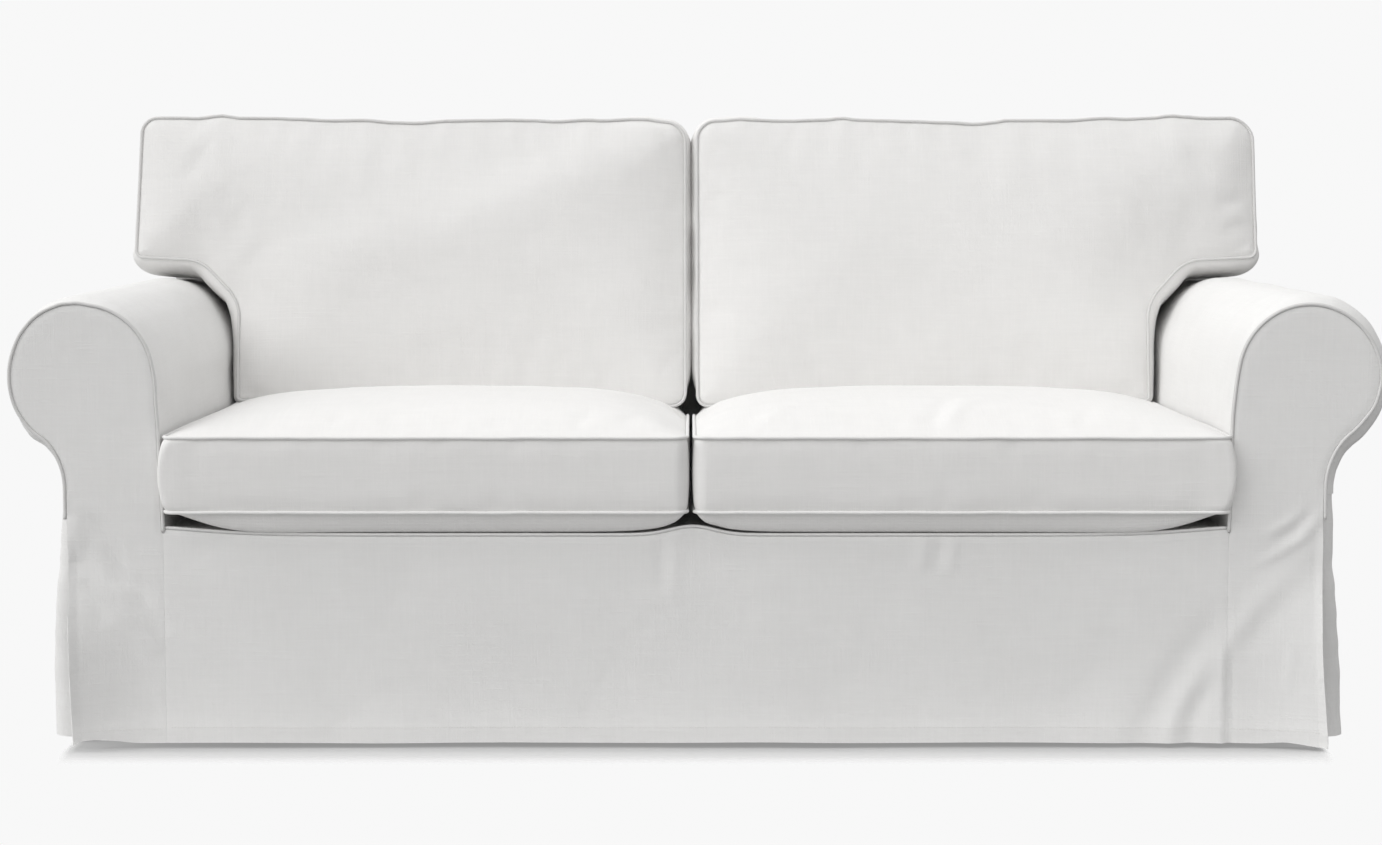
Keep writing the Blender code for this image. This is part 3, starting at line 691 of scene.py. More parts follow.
def round_roll(points):
    """The angle of each point round the roll, in degrees: 0 outwards, 90 up, 180 inwards, 240 at the deck."""
    angle = np.degrees(np.arctan2(points[:, 1] - ROLL_Z, points[:, 0] - ROLL_X))
    return np.where(angle < -90, angle + 360, angle)


def back_plane_y(z):
    """The show side of the inside back, which leans like the cushions before it."""
    clear = (CUSHION_T + 0.017 + 0.0007) / math.cos(LEAN)
    return CUSHION_Y + (z - CUSHION_Z) * math.tan(LEAN) + clear


def outside_back_y(z):
    return BACK_Y + BACK_FLARE * np.maximum(NECK_SEAM_Z - z, 0.0) / NECK_SEAM_Z


def front_y(x, z):
    """The front of the facings and the skirt: kicked corners, waves, folds and the hem's step."""
    x, z = np.broadcast_arrays(np.asarray(x, float), np.asarray(z, float))
    out = np.abs(x)
    places = np.stack([x.ravel(), z.ravel()], 1)
    kick = np.where(x < 0, ARMS["left"]["kick"], ARMS["right"]["kick"])
    low = 1 - bump(np.minimum(z, 0.255), 0.255, 0.078)
    y = FRONT_Y - kick * np.clip((out - 0.700) / 0.122, 0, 1.1) ** 2 * low
    y = y + 0.0016 * ease(-z, -0.032, -HEM_Z)
    y = y - 0.0015 * np.sin(9.0 * x + 0.6) * ease(-z, -0.26, -0.05)
    sewn_flat = 1 - 0.8 * (1 - ease(np.abs(out - ARM_IN), 0.0, 0.03)) * ease(z, 0.12, 0.20)
    folds = crease(places, FOLDS).reshape(x.shape)
    y = y - folds * ease(DECK_Z + 0.04 - z, 0.0, 0.03) * sewn_flat
    soft = drift(places, 0.11, 1).reshape(x.shape)
    y = y - 0.0011 * soft * ease(DECK_Z - z, 0.0, 0.05)
    y = y + 0.0005 * bump(out, ARM_IN, 0.0026) * (z < DECK_Z + 0.002)
    below = ease(-z, -0.145, -0.115) * (x > 0)
    y = y + (0.0026 * bump(out, ARM_IN + 0.0050, 0.0050) - 0.0016 * bump(out, ARM_IN - 0.0045, 0.0045)) * below
    return y - HEM_STEP * ease(HEM_Z + HEM_DEPTH + 0.001 - z, 0.0, 0.002)


def side_x(arm, z):
    """The outer side below the roll, which flares towards the hem."""
    return wave(arm["out"], z)


def settled(y):
    """How far behind the front piping the cloth has come out to its full swell: 0 to 1."""
    return ease(y, FRONT_Y + CLOTH + GAP, FRONT_Y + 0.024)


def arm_facing(side, arm, piping_cord):
    sign = arm["side"]
    seam = arm_section(arm)
    section = shifted(seam, -(CORD_R + GAP), closed=False)
    edge = CORD_R + GAP
    middle = arm["edge"]
    outer = smooth_path([(seam[-1][0] - edge, SLIT_Z), (0.5 * (seam[-1][0] + middle), SLIT_Z - 0.06),
                         (middle, 0.13), arm["hem"][0]])
    hem = smooth_path(arm["hem"])
    outline = np.vstack([section, outer[:-1], hem, [(ARM_IN, DECK_Z - 0.002)]])
    flat, faces = fill(anticlockwise(divided(outline, 0.006)), 0.0055)
    x, z = sign * flat[:, 0], flat[:, 1]
    y = front_y(x, z)
    y += 0.0016 * np.exp(-(to_line(flat, seam, closed=False) / 0.0045) ** 2)
    from_edge = to_line(flat, outer, closed=False)
    free = ease(SLIT_Z - z, 0.0, 0.03)
    y -= (0.0030 * bump(from_edge, 0.0020, 0.0035) - 0.0008 * bump(from_edge, 0.0085, 0.0030)) * free
    sheet_piece(f"arm_facing_{side}", np.stack([x, y, z], 1), faces, flat * (sign, 1),
                (sign * 0.77, 0.0, 0.3), (0.205, 0.595), "hung", area=0.084, with_pieces=[piping_cord])


def arm_cover(side, arm):
    """Inside arm, roll and neck in one length of cloth, cut out behind for the back."""
    sign = arm["side"]
    whole = arm_section(arm)
    section = np.vstack([whole[:-1], evenly([whole[-1], (whole[-1][0], NECK_SEAM_Z + GAP)], 0.008)])
    normal = lefts(section, closed=False)
    front = FRONT_Y + CLOTH + GAP + 0.0003
    rear = BACK_Y - CLOTH - 2 * GAP
    near = front + np.array([0, 0.0012, 0.0025, 0.004, 0.006, 0.009, 0.013, 0.018, 0.024, 0.031])
    far = np.concatenate([[0], np.cumsum(np.linalg.norm(np.diff(section, axis=0), axis=1))])
    out, z = section[:, :1], section[:, 1:]
    wall = back_plane_y(z) + CLOTH
    before = near[-1] + (wall - near[-1]) * np.linspace(0, 1, 72)[None, 1:]
    behind = wall + (rear - wall) * np.linspace(0, 1, 15)[None, 1:]
    y = np.hstack([np.broadcast_to(near, (len(section), len(near))), before, behind])
    drawn_in = WELT * (1 - ease(y, front, FRONT_Y + SEAM_RUN + 0.002))
    fullness = wave(arm["swell"], round_roll(section))[:, None] * settled(y) * (1 - ease(y, 0.09, 0.21))
    pressed = 0.0054 * bump(z, 0.440, 0.060) * (out < ROLL_X) * ease(y, -0.40, -0.22)
    pressed = pressed + 0.0085 * bump(round_roll(section)[:, None], 142, 26) * ease(y, -0.18, -0.01)
    places = np.stack([np.broadcast_to(far[:, None], y.shape).ravel(), y.ravel()], 1)
    soft = drift(places, 0.09, 5 + sign).reshape(y.shape) * 0.0012 * ease(y, front, front + 0.03)
    puckers = drift(places * (1.0, 0.15), 0.014, 8 + sign).reshape(y.shape)
    puckers = puckers * 0.0007 * bump(y, front + 0.012, 0.012)
    swell = fullness - pressed - drawn_in + (soft + puckers) * ease(far[:, None], 0.0, 0.02)
    grid = np.stack([sign * (out + normal[:, :1] * swell), y, z + normal[:, 1:] * swell], -1)
    middle = len(section) / 2
    order = np.arange(len(section))[:, None]
    under_back = ((out < BACK_HALF - 0.004) & (z > ROLL_Z)) | ((order < middle) & (z <= ROLL_Z))
    is_behind = np.arange(y.shape[1])[None] >= len(near) + before.shape[1]
    uvs = np.stack([np.broadcast_to(far[:, None], y.shape), y], -1)
    grid_piece(f"arm_cover_{side}", grid, uvs, (sign * 0.785, 0.0, 0.43), (0.650, 0.890), "stretched",
               keep=~(under_back & is_behind), area=0.56)


def arm_side(side, arm):
    """Outer side from the neck seam to the hem. Its front edge turns in behind the facing."""
    sign = arm["side"]
    neck = arm_section(arm)[-1][0]
    front = FRONT_Y + CLOTH + GAP
    near = front + np.array([0, 0.001, 0.002, 0.0035, 0.0055, 0.008, 0.011, 0.015, 0.020, 0.027, 0.036, 0.047,
                             0.060, 0.074])
    heights = np.concatenate([[HEM_Z], np.linspace(HEM_Z + 0.006, NECK_SEAM_Z, 46)])
    rows = []
    for z in heights:
        slack = float(ease(-z, -SLIT_Z, -0.20))
        out = float(side_x(arm, z))
        drawn_in = WELT * (1 - ease(near, front, FRONT_Y + SEAM_RUN + 0.002))
        closed_edge = np.stack([neck + (out - neck) * settled(near) - drawn_in, near], 1)
        deep = 0.020 * float(ease(-z, -0.24, -0.06))
        open_edge = smooth_path([(out - SLIT_TUCK, FRONT_Y + 0.012 + deep), (out - 0.020, FRONT_Y + 0.016 + deep),
                                 (out - 0.004, FRONT_Y + 0.030 + deep), (out, near[-1])], 20)
        open_edge = evenly(open_edge, 0.0001)
        open_edge = open_edge[np.linspace(0, len(open_edge) - 1, len(near)).astype(int)]
        edge = closed_edge + (open_edge - closed_edge) * slack
        rear = float(outside_back_y(z)) - CLOTH - 2 * GAP
        ys = np.linspace(edge[-1, 1], rear, 92)[1:]
        sway = 0.004 * np.sin(14.0 * ys + 1.0) * ease(-z, -0.28, 0.0) * (1 - ease(ys, rear - 0.03, rear))
        sway = sway * ease(ys, edge[-1, 1], -0.28) - 0.003 * ease(ys, edge[-1, 1], -0.28) * slack
        sway = sway + 0.0012 * drift(np.stack([ys, 0 * ys + z], 1), 0.08, 11 + sign) * ease(ys, -0.35, -0.31)
        xs = out + sway * ease(NECK_SEAM_Z - z, 0.0, 0.03)
        rows.append(np.vstack([edge, np.stack([xs, ys], 1)]))
    rows = np.array(rows)
    z = np.broadcast_to(heights[:, None], rows.shape[:2])
    step = HEM_STEP * ease(HEM_Z + HEM_DEPTH + 0.001 - z, 0.0, 0.002) * ease(rows[..., 1], -0.36, -0.35)
    grid = np.stack([sign * (rows[..., 0] + step), rows[..., 1], z], -1)
    far = np.linalg.norm(np.diff(rows, axis=1), axis=2).cumsum(axis=1)
    uvs = np.stack([np.pad(far, ((0, 0), (1, 0))), z], -1)
    grid_piece(f"arm_side_{side}", grid, uvs, (sign * 0.70, 0.05, 0.2), (0.930, 0.345), "hung")


def skirt_hem(x, z):
    """Where the skirt's hem rides a little up and down."""
    half = ARM_IN - 2 * GAP
    lift = 0.0004 * np.sin(7.0 * x + 1.0) + 0.0004 * np.sin(19.0 * x)
    return z + lift * ease(-z, -0.10, -HEM_Z) * ease(half - np.abs(x), 0.0, 0.03)


def front_skirt(piping_cord):
    half = ARM_IN - 0.0001
    x, z = np.meshgrid(np.linspace(-half, half, 290), np.linspace(HEM_Z, DECK_Z - 0.0025, 58))
    grid = np.stack([x, front_y(x, z), skirt_hem(x, z) + deck_edge(x) * ease(z, DECK_Z - 0.06, DECK_Z - 0.003)], -1)
    grid[..., 1] += 0.0016 * ease(z, DECK_Z - 0.008, DECK_Z - 0.0025)
    grid_piece("front_skirt", grid, np.stack([x, z], -1), (0.0, 0.0, 0.15), (1.420, 0.300), "hung",
               with_pieces=[piping_cord])


def deck_edge(x):
    """How the deck's front edge rises where no cushion presses on it: at its ends and in the middle."""
    x = np.asarray(x, float)
    ends = 0.0092 * np.exp(-(np.maximum(ARM_IN - np.abs(x), 0) / 0.085) ** 1.4)
    return ends + 0.0112 * bump(x, -0.005, 0.040) - 0.0034


def seat_deck():
    half = ARM_IN + 0.0025 - GAP
    x, y = np.meshgrid(np.linspace(-half, half, 240),
                       np.concatenate([np.linspace(FRONT_Y + 0.0075, -0.36, 14),
                                       np.linspace(-0.35, float(back_plane_y(DECK_Z)) - GAP, 50)]))
    grid = np.stack([x, y, DECK_Z + deck_edge(x) * (1 - ease(y, FRONT_Y + 0.012, -0.37))], -1)
    grid_piece("seat_deck", grid, np.stack([x, y], -1), (0.0, 0.0, 0.1), (1.430, 0.690), "stretched")


def back_head(half, top):
    """The back above the arms, from the right shoulder over the top to the left one."""
    r = BACK_CORNER_R
    right = arc(half - r, top - r, r, r, 0.0, math.pi / 2, 10)
    return np.vstack([right, right[::-1] * (-1, 1)])


def roll_top_z(out, clear):
    """Height of the roll's upper side at a distance from the middle."""
    return ROLL_Z + (ROLL_RZ + clear) * math.sqrt(1 - ((out - ROLL_X) / (ROLL_RX + clear)) ** 2)


def inside_back():
    """Between the arms from the deck up, and above them out to the shoulders."""
    beside_arm = shifted(arm_section(), 3 * GAP, closed=False)
    keep = (beside_arm[:, 0] < BACK_HALF - 0.006) & ((beside_arm[:, 1] > ROLL_Z) | (beside_arm[:, 0] < ROLL_X))
    right = np.vstack([beside_arm[keep], [(BACK_HALF, roll_top_z(BACK_HALF, 5 * GAP))]])
    outline = np.vstack([right, back_head(BACK_HALF, BACK_TOP_Z), right[::-1] * (-1, 1)])
    flat, faces = fill(anticlockwise(divided(outline, 0.02)), 0.02)
    points = np.stack([flat[:, 0], back_plane_y(flat[:, 1]), flat[:, 1]], 1)
    sheet_piece("inside_back", points, faces, flat, (0.0, 2.0, 0.5), (1.690, 0.520), "stretched", area=0.76)


def back_band():
    """The band over the top and down the shoulders, between the inside and the outside back."""
    foot = roll_top_z(BACK_HALF, 5 * GAP)
    head = back_head(BACK_HALF, BACK_TOP_Z)
    path = evenly(np.vstack([[(BACK_HALF, foot)], head, [(-BACK_HALF, foot)]]), 0.008)
    outward = lefts(path, closed=False) * -1
    far = np.concatenate([[0], np.cumsum(np.linalg.norm(np.diff(path, axis=0), axis=1))])
    front = back_plane_y(path[:, 1:]) + CLOTH + 2 * GAP
    rear = BACK_Y - CLOTH - 2 * GAP
    t = np.linspace(0, 1, 22)[None]
    y = front + (rear - front) * t
    places = np.stack([np.broadcast_to(far[:, None], y.shape).ravel(), y.ravel()], 1)
    soft = 0.0016 * drift(places, 0.09, 14).reshape(y.shape)
    puckers = 0.0008 * drift(places * (1, 0.2), 0.02, 15).reshape(y.shape)
    swell = (soft + puckers + 0.001) * np.sin(math.pi * t) ** 0.5 - 0.0012 * (1 - ease(np.minimum(t, 1 - t), 0, 0.1))
    grid = np.stack([path[:, :1] + outward[:, :1] * swell, y, path[:, 1:] + outward[:, 1:] * swell], -1)
    grid_piece("back_band", grid, np.stack([np.broadcast_to(far[:, None], y.shape), y], -1), (0.0, 0.38, 0.5),
               (2.080, 0.190), "stretched")


def outside_back():
    """One plain panel from shoulder to shoulder, round the ends of the rolls, to the hem."""
    heights = np.linspace(NECK_SEAM_Z, HEM_Z, 40)
    edges = {}
    for name, arm in ARMS.items():
        section = arm_section(arm)
        keep = (section[:, 0] > BACK_HALF) | ((section[:, 1] < ROLL_Z) & (section[:, 0] > ROLL_X))
        keep &= section[:, 1] > NECK_SEAM_Z
        outer = np.vstack([[(BACK_HALF, roll_top_z(BACK_HALF, 0.0))], section[keep]])
        hem = np.stack([side_x(arm, heights), heights], 1)
        edges[name] = np.vstack([outer, hem]) * (arm["side"], 1)
    outline = np.vstack([edges["right"][::-1], back_head(BACK_HALF, BACK_TOP_Z), edges["left"]])
    flat, faces = fill(anticlockwise(divided(outline, 0.009)), 0.009)
    x, z = flat.T
    edge = to_line(flat, outline)
    y = outside_back_y(z) + 0.003 * np.sin(8.0 * x + 0.4) * ease(-z, -0.40, -0.05)
    y = y + (0.0022 * drift(flat, 0.16, 21) + 0.0008 * drift(flat, 0.05, 22)) * ease(edge, 0.0, 0.05)
    y = y + crease(flat, BACK_FOLDS) * ease(edge, 0.0, 0.02) - 0.0012 * (1 - ease(edge, 0, 0.006)) * (z > 0.02)
    y = y + HEM_STEP * ease(HEM_Z + HEM_DEPTH + 0.001 - z, 0.0, 0.002)
    sheet_piece("outside_back", np.stack([x, y, z], 1), faces, flat, (0.0, 0.0, 0.4), (1.780, 0.810), "hung",
                area=1.32)


# Folds of the outside back, in the same columns as FOLDS.
BACK_FOLDS = [
    (0.022, 0.004, (-0.80, 0.36), (-0.62, 0.20)), (0.026, 0.005, (-0.70, 0.14), (-0.58, 0.01)),
    (0.022, 0.004, (0.79, 0.34), (0.66, 0.16)), (0.026, 0.005, (0.72, 0.15), (0.63, 0.01)),
    (0.030, 0.004, (-0.20, 0.12), (-0.17, 0.01)), (0.034, 0.004, (0.24, 0.16), (0.20, 0.01)),
    (0.030, 0.003, (-0.76, 0.70), (-0.60, 0.60)), (0.030, 0.003, (0.77, 0.71), (0.62, 0.62)),
]


def facing_piping(side, arm):
    seam = arm_section(arm)
    route = evenly(np.vstack([seam, [(seam[-1][0], SLIT_Z + 0.004)]]), 0.005)
    y = FRONT_Y + 0.5 * 0.0025 + 0.0002 * drift(route, 0.03, 31)
    return cord(f"facing_piping_{side}", np.stack([arm["side"] * route[:, 0], y, route[:, 1]], 1), (0, 1, 0), False)


def front_edge_piping():
    half = ARM_IN - WELT
    x = np.linspace(-half, half, 260)
    y = front_y(x, DECK_Z) + 0.0035
    route = np.stack([x, y, DECK_Z + deck_edge(x) - 0.0004], 1)
    return cord("front_edge_piping", route, (0, 0, 1), False, SEAT_PIPING_LINEN)


def hem_stitches():
    """A row of stitches above the hem of the skirt and above the hem of each facing."""
    up = HEM_Z + HEM_DEPTH - 0.003
    lift = THREAD_R * 0.4
    half = ARM_IN - 0.008
    x = np.linspace(-half, half, 500)
    z = np.full(x.shape, up)
    front = [np.stack([x, front_y(x, z) - lift, skirt_hem(x, z)], 1)]
    for name, arm in ARMS.items():
        x = arm["side"] * np.linspace(ARM_IN + 0.008, arm["hem"][0][0] - 0.008, 50)
        z = np.full(x.shape, up - 0.002)
        front.append(np.stack([x, front_y(x, z) - lift, z], 1))
    stitches("front_hem_stitches", front)


def body_cover():
    for side, arm in ARMS.items():
        arm_facing(side, arm, facing_piping(side, arm))
        arm_cover(side, arm)
        arm_side(side, arm)
    front_skirt(front_edge_piping())
    seat_deck()
    inside_back()
    back_band()
    outside_back()
    hem_stitches()


# ---------------------------------------------------------------- cushions

PRESSURE = 4.0
LAST_FRAME = 20


def puffed(mesh, seam, most):
    """Blows the cloth up between its pinned seams, and holds every point within most of its start."""
    start = np.array([v.co[:] for v in mesh.vertices])
    carrier = bpy.data.objects.new("puffed", mesh)
    bpy.context.scene.collection.objects.link(carrier)
    pins = carrier.vertex_groups.new(name="seam")
    pins.add([int(k) for k in seam], 1.0, "REPLACE")
    modifier = carrier.modifiers.new("puff", "CLOTH")
    settings = modifier.settings
    settings.vertex_group_mass = "seam"
    settings.use_pressure = True
    settings.uniform_pressure_force = PRESSURE
    settings.effector_weights.gravity = 0.0
    settings.quality = 5
    settings.tension_stiffness = settings.compression_stiffness = 20.0
    settings.shear_stiffness = 8.0
    settings.bending_stiffness = 8.0
    settings.shrink_min = -0.002
    modifier.collision_settings.use_collision = False
    modifier.point_cache.frame_end = LAST_FRAME
    scene = bpy.context.scene
    for number in range(1, LAST_FRAME + 1):
        scene.frame_set(number)
    graph = bpy.context.evaluated_depsgraph_get()
    shaped = carrier.evaluated_get(graph).to_mesh()
    end = np.array([v.co[:] for v in shaped.vertices])
    carrier.evaluated_get(graph).to_mesh_clear()
    scene.frame_set(1)
    bpy.data.objects.remove(carrier)
    move = end - start
    far = np.linalg.norm(move, axis=1, keepdims=True)
    return start + move * (most * np.tanh(far / most) / np.maximum(far, 1e-9))


def cushion(name, outline, thickness, crowns, puff, place, finish, most, piping):
    """A filled cushion: two crowned faces and a boxing, drawn in at the two seams.

    Points are (a, b) in the outline's plane and a depth behind the front piping. crowns are the
    front and the rear one, each a function of (a, b, distance to the seam). puff(a, b, t) is how
    far the boxing swells at t of its depth. finish(points, part) adds the creases.
    """
    outline = anticlockwise(outline)
    seam = shifted(outline, WELT)
    depths = np.concatenate([[0.0025, 0.006, 0.0115], np.linspace(0.020, thickness - 0.020,
                             max(4, round((thickness - 0.04) / 0.011) + 1)),
                             thickness - np.array([0.0115, 0.006, 0.0025])])
    flat, faces = fill(seam, 0.0125, rings=(0.004, 0.0095))
    to_seam = to_line(flat, seam)
    on_seam = np.array([np.argmin(np.linalg.norm(flat - p, axis=1)) for p in seam])
    far = np.concatenate([[0], np.cumsum(np.linalg.norm(np.diff(outline, axis=0), axis=1))])
    length = far[-1] + np.linalg.norm(outline[0] - outline[-1])
    points, uvs, quads = [], [], []
    count = len(outline)
    face_count = len(flat)
    front = np.column_stack([flat, crowns[0](flat[:, 0], flat[:, 1], to_seam)])
    rear = np.column_stack([flat, -thickness - crowns[1](flat[:, 0], flat[:, 1], to_seam)])
    points += [front, rear]
    for depth in depths:
        t = depth / thickness
        drawn_in = WELT * (1 - ease(min(depth, thickness - depth), 0, SEAM_RUN))
        ring = shifted(outline, drawn_in - puff(outline[:, 0], outline[:, 1], t))
        points.append(np.column_stack([ring, np.full(count, -depth)]))
    points = np.vstack(points)
    rings = [on_seam] + [2 * face_count + k * count + np.arange(count) for k in range(len(depths))]
    rings += [face_count + on_seam]
    all_faces = [tuple(f) for f in faces] + [tuple(face_count + i for i in f[::-1]) for f in faces]
    face_uvs = [[tuple(flat[i]) for i in f] for f in faces] + [[tuple(flat[i]) for i in f[::-1]] for f in faces]
    levels = np.concatenate([[0], depths, [thickness]])
    ends = np.append(far, length)
    for k in range(len(rings) - 1):
        for j in range(count):
            after = (j + 1) % count
            all_faces.append((rings[k][j], rings[k + 1][j], rings[k + 1][after], rings[k][after]))
            face_uvs.append([(ends[j], levels[k]), (ends[j], levels[k + 1]),
                             (ends[j + 1], levels[k + 1]), (ends[j + 1], levels[k])])
    mesh = bpy.data.meshes.new(name)
    mesh.from_pydata([tuple(p) for p in points], [], [[int(i) for i in f] for f in all_faces])
    layer = mesh.uv_layers.new(name="cloth")
    layer.data.foreach_set("uv", np.array([uv for face in face_uvs for uv in face]).ravel())
    pinned = np.concatenate([on_seam, face_count + on_seam])
    shape = puffed(mesh.copy(), pinned, most)
    part = np.concatenate([np.zeros(face_count), np.ones(face_count),
                           np.full(len(points) - 2 * face_count, 2)]).astype(int)
    edge = np.concatenate([to_seam, to_seam, np.minimum(-points[2 * face_count:, 2],
                           thickness + points[2 * face_count:, 2])])
    shape = finish(shape, points, part, edge)
    placed = place(shape[:, 0], shape[:, 1], -shape[:, 2])
    for vertex, co in zip(mesh.vertices, placed):
        vertex.co = co
    bm = bmesh.new()
    bm.from_mesh(mesh)
    bmesh.ops.recalc_face_normals(bm, faces=bm.faces)
    bm.to_mesh(mesh)
    bm.free()
    mesh.shade_smooth()
    mesh = with_modifiers(mesh, ("SUBSURF", {"levels": 1, "render_levels": 1}))
    piece = new_piece(name + "_linen", mesh, CUSHION_LINEN, "cushion_cloth", name)
    for end, depth in (("front", 0.0), ("rear", thickness)):
        route = divided(outline, 0.007)
        up = place(np.zeros(1), np.zeros(1), np.ones(1))[0] - place(np.zeros(1), np.zeros(1), np.zeros(1))[0]
        wobble = 0.0006 * drift(route, 0.035, 41)
        cord(f"{name}_piping_{end}", place(route[:, 0], route[:, 1], depth + wobble), up, True, piping)


def grown(distance, run, power):
    """Rises from 0 at a seam to 1 well inside it."""
    return 1 - np.exp(-(np.maximum(distance, 0) / run) ** power)


def seat_cushion(side):
    x0, x1 = SEATS[side]
    outer, inner = (x0, x1) if side == "left" else (x1, x0)
    outline = rounded([(x0, SEAT_FRONT_Y, 0.016), (x1, SEAT_FRONT_Y, 0.016),
                       (x1, SEAT_REAR_Y, 0.020), (x0, SEAT_REAR_Y, 0.020)])

    def place(x, y, depth):
        drop = SEAT_DROP * ease(y, SEAT_FRONT_Y, 0.05) + INNER_DIP * bump(x, inner, 0.014) * (ease(y, -0.24, -0.08) + ease(y, 0.05, 0.20))
        return np.stack([x, y, SEAT_TOP_Z - depth - drop * (1 - depth / SEAT_T)], 1)

    def top_limit(x, y):
        ends = grown(np.abs(x - outer), 0.058, 0.85) * grown(np.abs(x - inner), 0.050, 0.95)
        lengthways = grown(y - SEAT_FRONT_Y, 0.050, 0.85)
        pressed = ease(y, -0.115, 0.0)
        high = SEAT_CROWN * 1.04 * ends * lengthways
        low = SEAT_PRESSED * np.minimum(ends * 2, 1) * grown(SEAT_REAR_Y - y, 0.02, 1.0)
        return high * (1 - pressed) + low * pressed

    def top(x, y, to_seam):
        return 0.90 * top_limit(x, y) * ease(to_seam, -0.001, 0.001)

    def belly_limit(x, y):
        ends = grown(np.abs(x - outer), 0.058, 1.6) * grown(np.abs(x - inner), 0.022, 0.70)
        over_edge = SEAT_BELLY_EDGE * (1 - ease(y, -0.41, -0.37))
        lengthways = grown(y - SEAT_FRONT_Y - WELT, 0.0030, 0.75) * grown(SEAT_REAR_Y - y, 0.03, 1.0)
        return (SEAT_BELLY + over_edge) * ends * lengthways

    def belly(x, y, to_seam):
        return belly_limit(x, y) * ease(to_seam, -0.001, 0.001)

    def puff(x, y, t):
        front = ease(-y, -SEAT_FRONT_Y - 0.016, -SEAT_FRONT_Y)
        bulge = math.sin(math.pi * t) ** 0.7
        corner = ease(-y, 0.4285, 0.437) * (np.abs(x - outer) < 0.03)
        return (0.0014 - 0.0006 * front + 0.0100 * corner) * bulge

    def finish(shape, start, part, edge):
        x, y = start[:, 0], start[:, 1]
        flat = start[:, :2]
        top_part, under, box = part == 0, part == 1, part == 2
        soft = drift(flat, 0.13, 51 + x0) * 0.0014 * ease(edge, 0.0, 0.06)
        limit = top_limit(x, y)
        high = np.minimum(shape[:, 2], limit * 1.06)
        high = high + (soft + crease(flat, SEAT_CREASES)) * ease(edge, 0.0, 0.02) * (1 - ease(y, -0.10, 0.0))
        shape[:, 2] = np.where(top_part, high, shape[:, 2])
        shape[:, 2] = np.where(under, np.clip(shape[:, 2], -SEAT_T - belly_limit(x, y) - 0.0002, -SEAT_T), shape[:, 2])
        room = np.where((y < -0.431) & (np.abs(x - outer) < 0.03), 0.0125, 0.0030)
        shape[:, 0] = np.where(box, np.clip(shape[:, 0], x0 - room, x1 + room), shape[:, 0])
        ripple = drift(np.stack([x, y * 0 + shape[:, 2] * 0.3], 1), 0.028, 61) * 0.0009 * bump(edge, 0.016, 0.02)
        front = box & (y < SEAT_FRONT_Y + 0.001)
        shape[:, 1] = np.where(front, np.maximum(shape[:, 1], SEAT_FRONT_Y - 0.0016) - ripple, shape[:, 1])
        return shape

    cushion(f"seat_cushion_{side}", divided(outline, 0.0125), SEAT_T, (top, belly), puff, place, finish, 0.006,
            SEAT_PIPING_LINEN)


# Creases of the seat tops, in the same columns as FOLDS but in plan.
SEAT_CREASES = [
    (0.008, -0.0030, (0.060, -0.425), (0.098, -0.340)), (0.010, 0.0023, (0.085, -0.430), (0.130, -0.350)),
    (0.009, -0.0034, (0.305, -0.430), (0.345, -0.300)), (0.010, 0.0027, (0.325, -0.435), (0.375, -0.310)),
    (0.008, -0.0027, (-0.160, -0.430), (-0.135, -0.370)), (0.009, -0.0027, (-0.100, -0.430), (-0.070, -0.360)),
    (0.007, 0.0019, (-0.060, -0.432), (-0.045, -0.380)), (0.010, -0.0019, (0.500, -0.430), (0.530, -0.360)),
    (0.010, -0.0019, (-0.480, -0.430), (-0.455, -0.370)),
]

# Creases of the back cushions' front faces: across, up the lean.
BACK_CREASES = {
    "left": [(0.050, 0.0060, (-0.740, 0.160), (-0.350, 0.265), (0.010, 0.430)),
             (0.006, -0.0022, (-0.062, 0.398), (-0.026, 0.372)), (0.007, 0.0014, (-0.080, 0.392), (-0.040, 0.358)),
             (0.007, -0.0018, (-0.020, 0.290), (-0.052, 0.282)), (0.007, -0.0016, (-0.020, 0.225), (-0.050, 0.222)),
             (0.008, -0.0016, (-0.020, 0.150), (-0.055, 0.158)), (0.012, -0.0015, (-0.690, 0.190), (-0.640, 0.240))],
    "right": [(0.009, -0.0030, (0.845, 0.300), (0.790, 0.292)), (0.008, -0.0026, (0.845, 0.262), (0.800, 0.250)),
              (0.007, 0.0018, (0.845, 0.280), (0.805, 0.272)), (0.008, -0.0022, (0.012, 0.300), (0.050, 0.306)),
              (0.008, -0.0018, (0.012, 0.268), (0.045, 0.262)), (0.008, -0.0022, (0.012, 0.130), (0.050, 0.122)),
              (0.009, -0.0014, (0.012, 0.360), (0.060, 0.330)), (0.012, -0.0015, (0.690, 0.190), (0.640, 0.240))],
}


